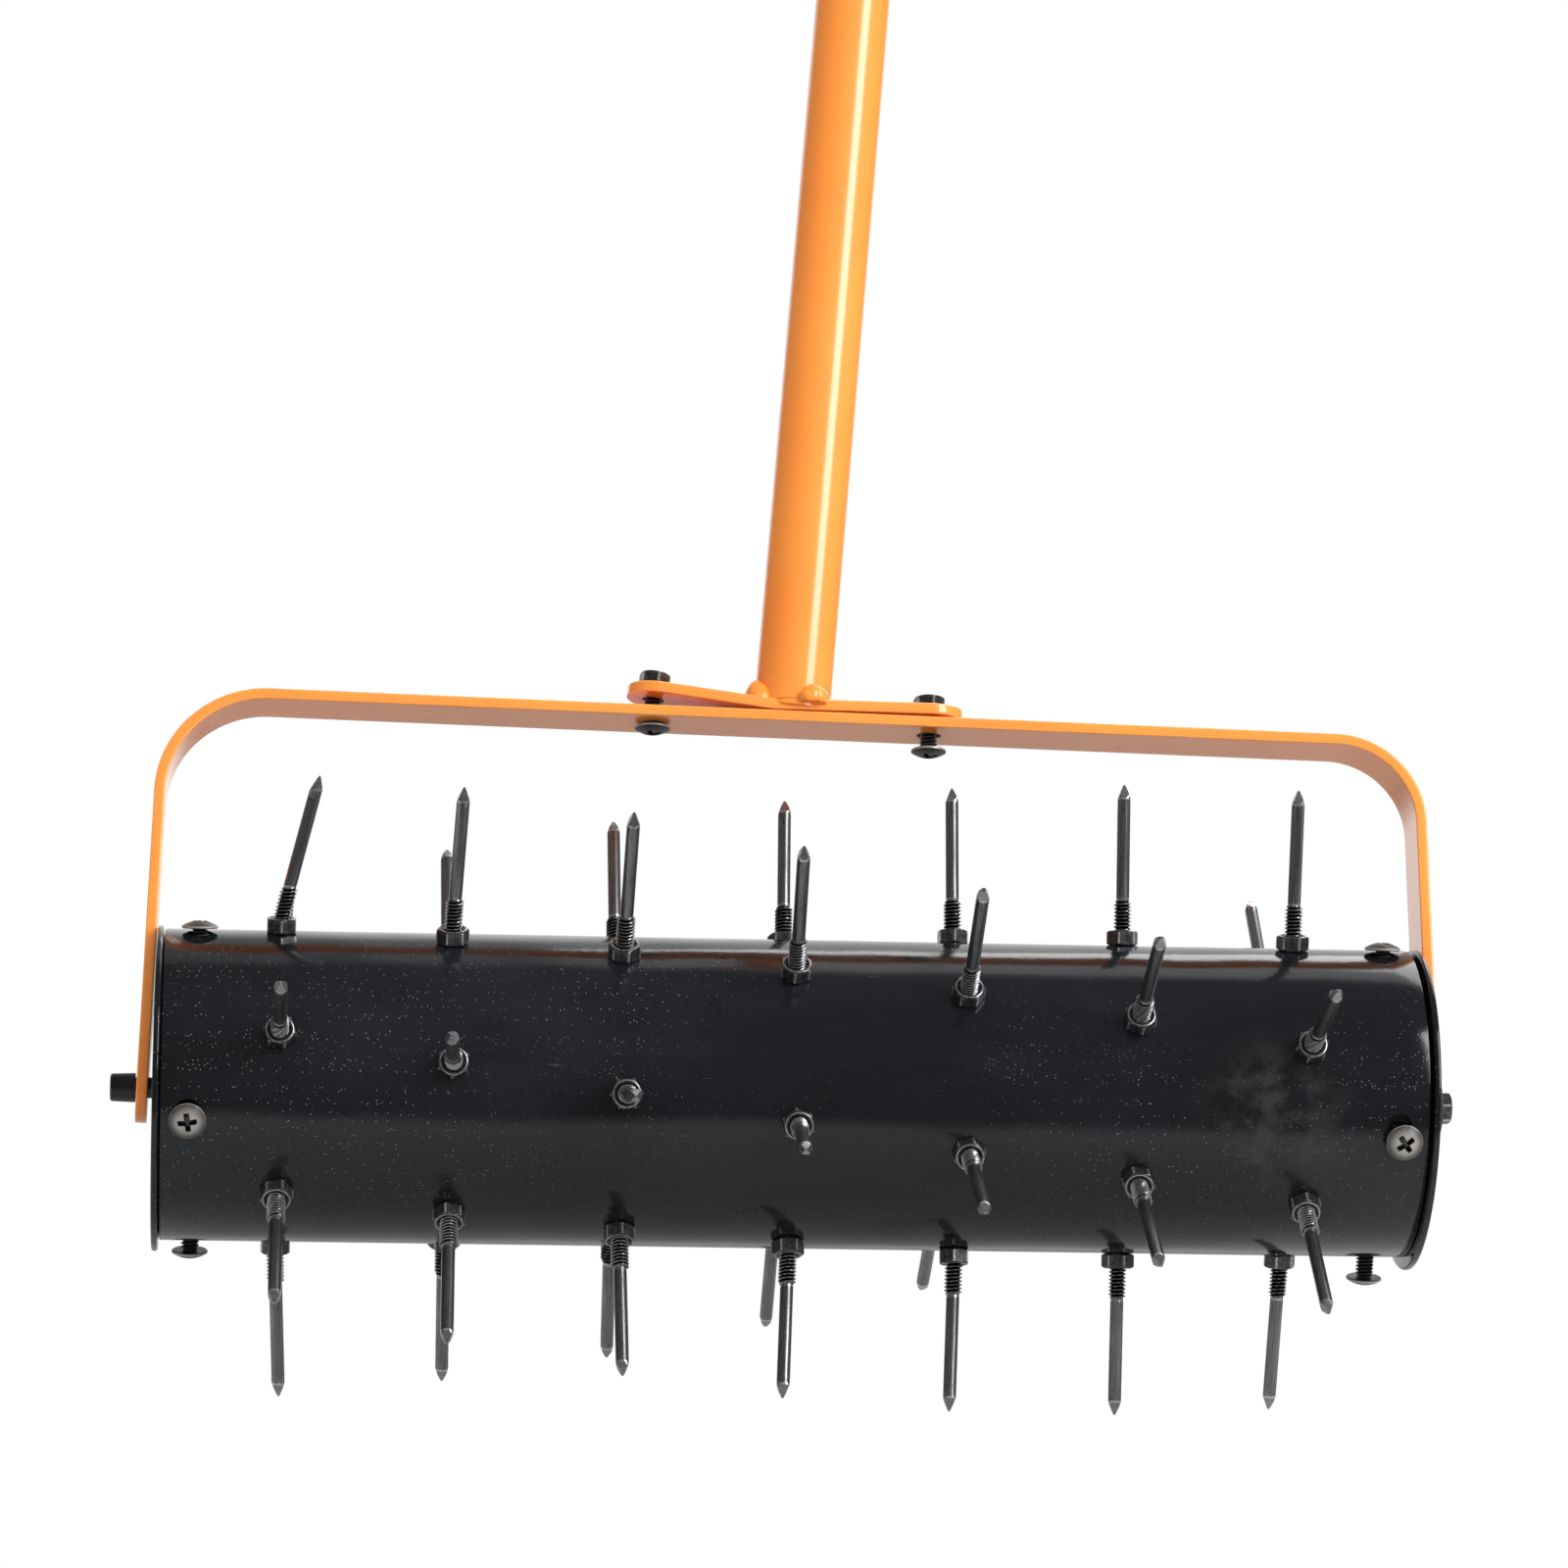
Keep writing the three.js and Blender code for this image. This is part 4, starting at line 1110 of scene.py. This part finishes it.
def plate_screw(side_name, side):
    """A domed screw up through the bar and the plate, with its nut on top."""
    x = side * SCREW_PLACE
    lift = PLATE_LIFT_LEFT if side < 0 else -PLATE_LIFT_RIGHT
    head_top = -BAR_THICKNESS - FIT / 3 - SCREW_HANGS[side_name]
    nut_bottom = plate_lift(x) + PLATE_THICKNESS + NUT_ACROSS / math.sqrt(3) * sine(abs(lift))
    shank = threaded_rod(head_top - HEAD_EDGE / 2, nut_bottom + NUT_HEIGHT + SCREW_TAIL)
    head = cross_head(-head_top, 30).moved(turned("X", 180))
    nut = hexagon(NUT_ACROSS, 0, NUT_HEIGHT, NUT_BORE, 1)
    nut.moved(turned("Z", 12)).moved(turned("Y", lift), (0, 0, nut_bottom))
    skins = [on_bar(skin, x) for skin in (shank, head, nut)]
    name = "base_screw_" + side_name
    make(name + "_steel", skins, [SCREW, NUT], "frame", [name])


def swaged_tube(length):
    """A tube whose lower end is drawn in to a neck, as a wall turned about +Z."""
    bore = TUBE_RADIUS - TUBE_WALL
    neck = bore - FIT
    start = (neck - TUBE_WALL, -SPIGOT_LENGTH / 2)
    corners = [start, (neck - TUBE_WALL, -SPIGOT_LENGTH), (neck, -SPIGOT_LENGTH), (neck, FIT)]
    corners += [(TUBE_RADIUS, SWAGE_LENGTH), (TUBE_RADIUS, length), (bore, length), (bore, SWAGE_LENGTH)]
    corners += [(neck - TUBE_WALL, FIT), start]
    radii = [0.3, 0.3, 1.5, 1.5, TUBE_EDGE, TUBE_EDGE, 1.5, 1.5]
    return lathe(rounded(corners, radii, 6)[:-1], 128, looped=True)


def middle_tube():
    """The handle's middle tube, drawn in at its foot to fit the lower one."""
    tube = on_handle(swaged_tube(MIDDLE_TUBE_LENGTH), LOWER_TUBE_LENGTH)
    make_orange("middle_tube_steel", [tube], "middle_tube")


def stem_weld():
    """The weld where the stem meets the cross bar, along z = length - sqrt(R squared - y squared)."""
    around = np.radians(np.arange(0, 360, 4))[:, None]
    section = angles_round(12)
    y = TUBE_RADIUS * np.sin(around)
    seam = STEM_LENGTH - np.sqrt(np.maximum(TUBE_RADIUS**2 - y**2, 0))
    thick = STEM_WELD * (1 + 0.08 * np.sin(around * 24))
    radius = TUBE_RADIUS + thick * np.cos(section)
    return Skin(ring_points(radius, around, seam + thick * np.sin(section)), True)


def cross_handle():
    """The stem with its cross bar, joined by a weld."""
    stem = on_handle(swaged_tube(STEM_LENGTH - TUBE_RADIUS / 2), STEM_FOOT)
    half = CROSS_BAR_LENGTH / 2
    bar = pipe(TUBE_RADIUS, TUBE_RADIUS - TUBE_WALL, -half, half, 128).moved(ALONG_AXLE)
    bar = on_handle(bar, STEM_FOOT + STEM_LENGTH)
    bead = on_handle(stem_weld(), STEM_FOOT)
    make_orange("cross_handle", [stem, bar, bead], "t_handle")


def grip(name, side):
    """A grip turned from a profile: a flange at its inner end, ribs along it and a rounded closed end."""
    bore = TUBE_RADIUS + FIT
    radius = bore + GRIP_WALL
    start = CROSS_BAR_LENGTH / 2 + FIT + GRIP_END_WALL - GRIP_LENGTH
    end = start + GRIP_LENGTH
    ribs_start = start + GRIP_FLANGE_LENGTH
    ribs_end = end - GRIP_FLANGE_LENGTH - GRIP_END_WALL
    along = np.linspace(ribs_start, ribs_end, GRIP_RIBS * 12 + 1)
    wave = np.abs(np.sin(np.pi * GRIP_RIBS * (along - ribs_start) / (ribs_end - ribs_start))) ** 0.7
    ribbed = np.stack([radius + GRIP_RIB * wave, along], axis=-1)
    wide = radius + GRIP_FLANGE
    corners = [(bore, start + 1), (bore, start), (wide, start), (wide, start + GRIP_FLANGE_LENGTH / 2)]
    flange = rounded([*corners, (radius, ribs_start)], [0.4, 1, 1.1])
    closed = rounded([(radius, ribs_end), (radius, end), (0, end)], [GRIP_END_WALL / 2], 8)
    hollow = [(0, end - GRIP_END_WALL), (bore, end - GRIP_END_WALL)]
    profile = np.concatenate([flange[:-1], ribbed, closed[1:], hollow])
    sleeve = lathe(profile, 96, looped=True).moved(turned("Y", 90 * side))
    sleeve = on_handle(sleeve, STEM_FOOT + STEM_LENGTH)
    make(name + "_sleeve", [sleeve], [RUBBER], "frame", [name])


def handle_bolt(name, height):
    """A screw through a handle joint, its domed head in front and its nut behind."""
    seat = TUBE_RADIUS + FIT / 3
    shank = threaded_rod(-seat - NUT_HEIGHT - HANDLE_SCREW_TAIL, seat + HEAD_EDGE / 2)
    head = cross_head(seat, 20)
    nut = hexagon(NUT_ACROSS, -seat - NUT_HEIGHT, -seat, NUT_BORE, 1)
    skins = [on_handle(skin.moved(turned("X", 90)), height) for skin in (shank, head, nut)]
    make(name + "_steel", skins, [SCREW, NUT], "frame", [name])


# Studio

def floor():
    """A plain pale floor, in glossy surfaces darker in front of the drum and behind it.

    From below it lets everything through, because the camera stands lower than it.
    """
    f = Finish("pale_floor")
    depth = f.part(f.place(), "Y")
    colour = f.mix(depth.rise(*FLOOR_NEARER), FLOOR_AHEAD, FLOOR_NEAR)
    colour = f.mix(depth.rise(*FLOOR_FURTHER), colour, FLOOR_BEHIND)
    colour = f.mix(f.light_path("Is Glossy Ray"), FLOOR_LIT, colour)
    colour = f.mix(f.light_path("Is Camera Ray"), colour, FLOOR_SEEN)
    from_below = f.node("NewGeometry", output="Backfacing")
    pale = f.node("BsdfDiffuse", {"Color": colour, "Roughness": 0.4})
    clear = f.node("BsdfTransparent")
    f.node("OutputMaterial", {"Surface": f.blend(from_below, pale, clear)})
    size = 8
    mesh = bpy.data.meshes.new("floor")
    corners = [(-size, -size, 0), (size, -size, 0), (size, size, 0), (-size, size, 0)]
    mesh.from_pydata(corners, [], [(0, 1, 2, 3)])
    mesh.materials.append(f.material)
    in_scene("floor", mesh)


def softbox(name, place, size, power, aim, mirrored=True):
    """A square soft lamp that faces aim, with or without its image in glossy surfaces."""
    lamp = bpy.data.lights.new(name, "AREA")
    lamp.shape = "RECTANGLE"
    lamp.size, lamp.size_y = size
    lamp.energy = power
    holder = in_scene(name, lamp)
    holder.location = place
    holder.rotation_euler = (Vector(aim) - Vector(place)).to_track_quat("-Z", "Y").to_euler()
    holder.visible_glossy = mirrored


def surroundings():
    """White to look at, and soft grey light that is weaker from the left.

    In glossy surfaces it is white behind, greyer down to the horizon and high up on the left, and dark in
    front and at the sides.
    """
    f = Finish("studio", bpy.data.worlds)
    direction = f.node("TexCoord")
    across, backwards, upwards = [f.part(direction, axis) for axis in "XYZ"]
    right_or_low = f.math("MAXIMUM", across.rise(*ON_THE_RIGHT), upwards.rise(*BELOW_THE_TOP))
    bright = backwards.rise(*BEHIND) * f.math("ABSOLUTE", across).rise(*IN_THE_MIDDLE)
    bright = bright * (right_or_low * (1 - LEFT_SHARE) + LEFT_SHARE)
    bright = bright * (upwards.rise(*ABOVE_HORIZON) * (1 - HORIZON_SHARE) + HORIZON_SHARE)
    mirrored = f.mix(bright, MIRRORED_DARK, WHITE)
    fill = f.mix(across.rise(*RIGHT_OF_LEFT), FILL_LEFT, FILL_GREY)
    mirrored, fill, white = [f.node("Background", {0: colour}) for colour in (mirrored, fill, WHITE)]
    seen = f.light_path("Is Camera Ray") + f.light_path("Is Transmission Ray")
    light = f.blend(f.light_path("Is Glossy Ray"), fill, mirrored)
    f.node("OutputWorld", {0: f.blend(seen, light, white)})
    bpy.context.scene.world = f.material


def studio():
    """A tall softbox at the right of the camera, one above, and two without an image in glossy surfaces."""
    softbox("key", (1.88, -1.94, 1.25), (1.15, 2), 58, (0, 0, 0.6))
    softbox("side", (2.7, -0.7, 1.2), (1.6, 1.8), 26, (0, 0, 0.2), False)
    softbox("overhead", (1.2, 1, 2.6), (2.2, 1.4), 24, (0, 0, 0.1))
    softbox("front", (0.3, -2.7, 1.3), (2, 1.4), 15, (0, 0, 0.2), False)
    surroundings()


def camera():
    """The photograph's camera, which looks up at the drum from a little to its left."""
    data = bpy.data.cameras.new("photograph")
    data.lens = CAMERA_LENS
    data.sensor_width = CAMERA_SENSOR
    data.clip_end = 100
    holder = in_scene("photograph", data)
    back = -Vector(CAMERA_AHEAD).normalized()
    right = Vector(CAMERA_UP).cross(back).normalized()
    up = back.cross(right)
    place = (DRUM_CENTRE + AXLE + CAMERA_PLACE) * MM
    holder.matrix_world = Matrix.Translation(place) @ Matrix((right, up, back)).transposed().to_4x4()
    bpy.context.scene.camera = holder


camera()
drum_tube()
for row in SPIKE_ROWS:
    for column in range(SPIKE_COLUMNS):
        spike(f"{row}{column + 1}")
end_cap("end_cap_left", -1)
end_cap("end_cap_right", 1)
hub_bush("hub_bush_left", -1)
hub_bush("hub_bush_right", 1)
yoke()
axle_pieces()
handle_base()
plate_screw("left", -1)
plate_screw("right", 1)
middle_tube()
cross_handle()
handle_bolt("handle_bolt_lower", LOWER_TUBE_LENGTH - SPIGOT_LENGTH / 2)
handle_bolt("handle_bolt_upper", STEM_FOOT - SPIGOT_LENGTH / 2)
grip("grip_left", -1)
grip("grip_right", 1)
floor()
studio()

bpy.context.scene.view_settings.view_transform = "Standard"
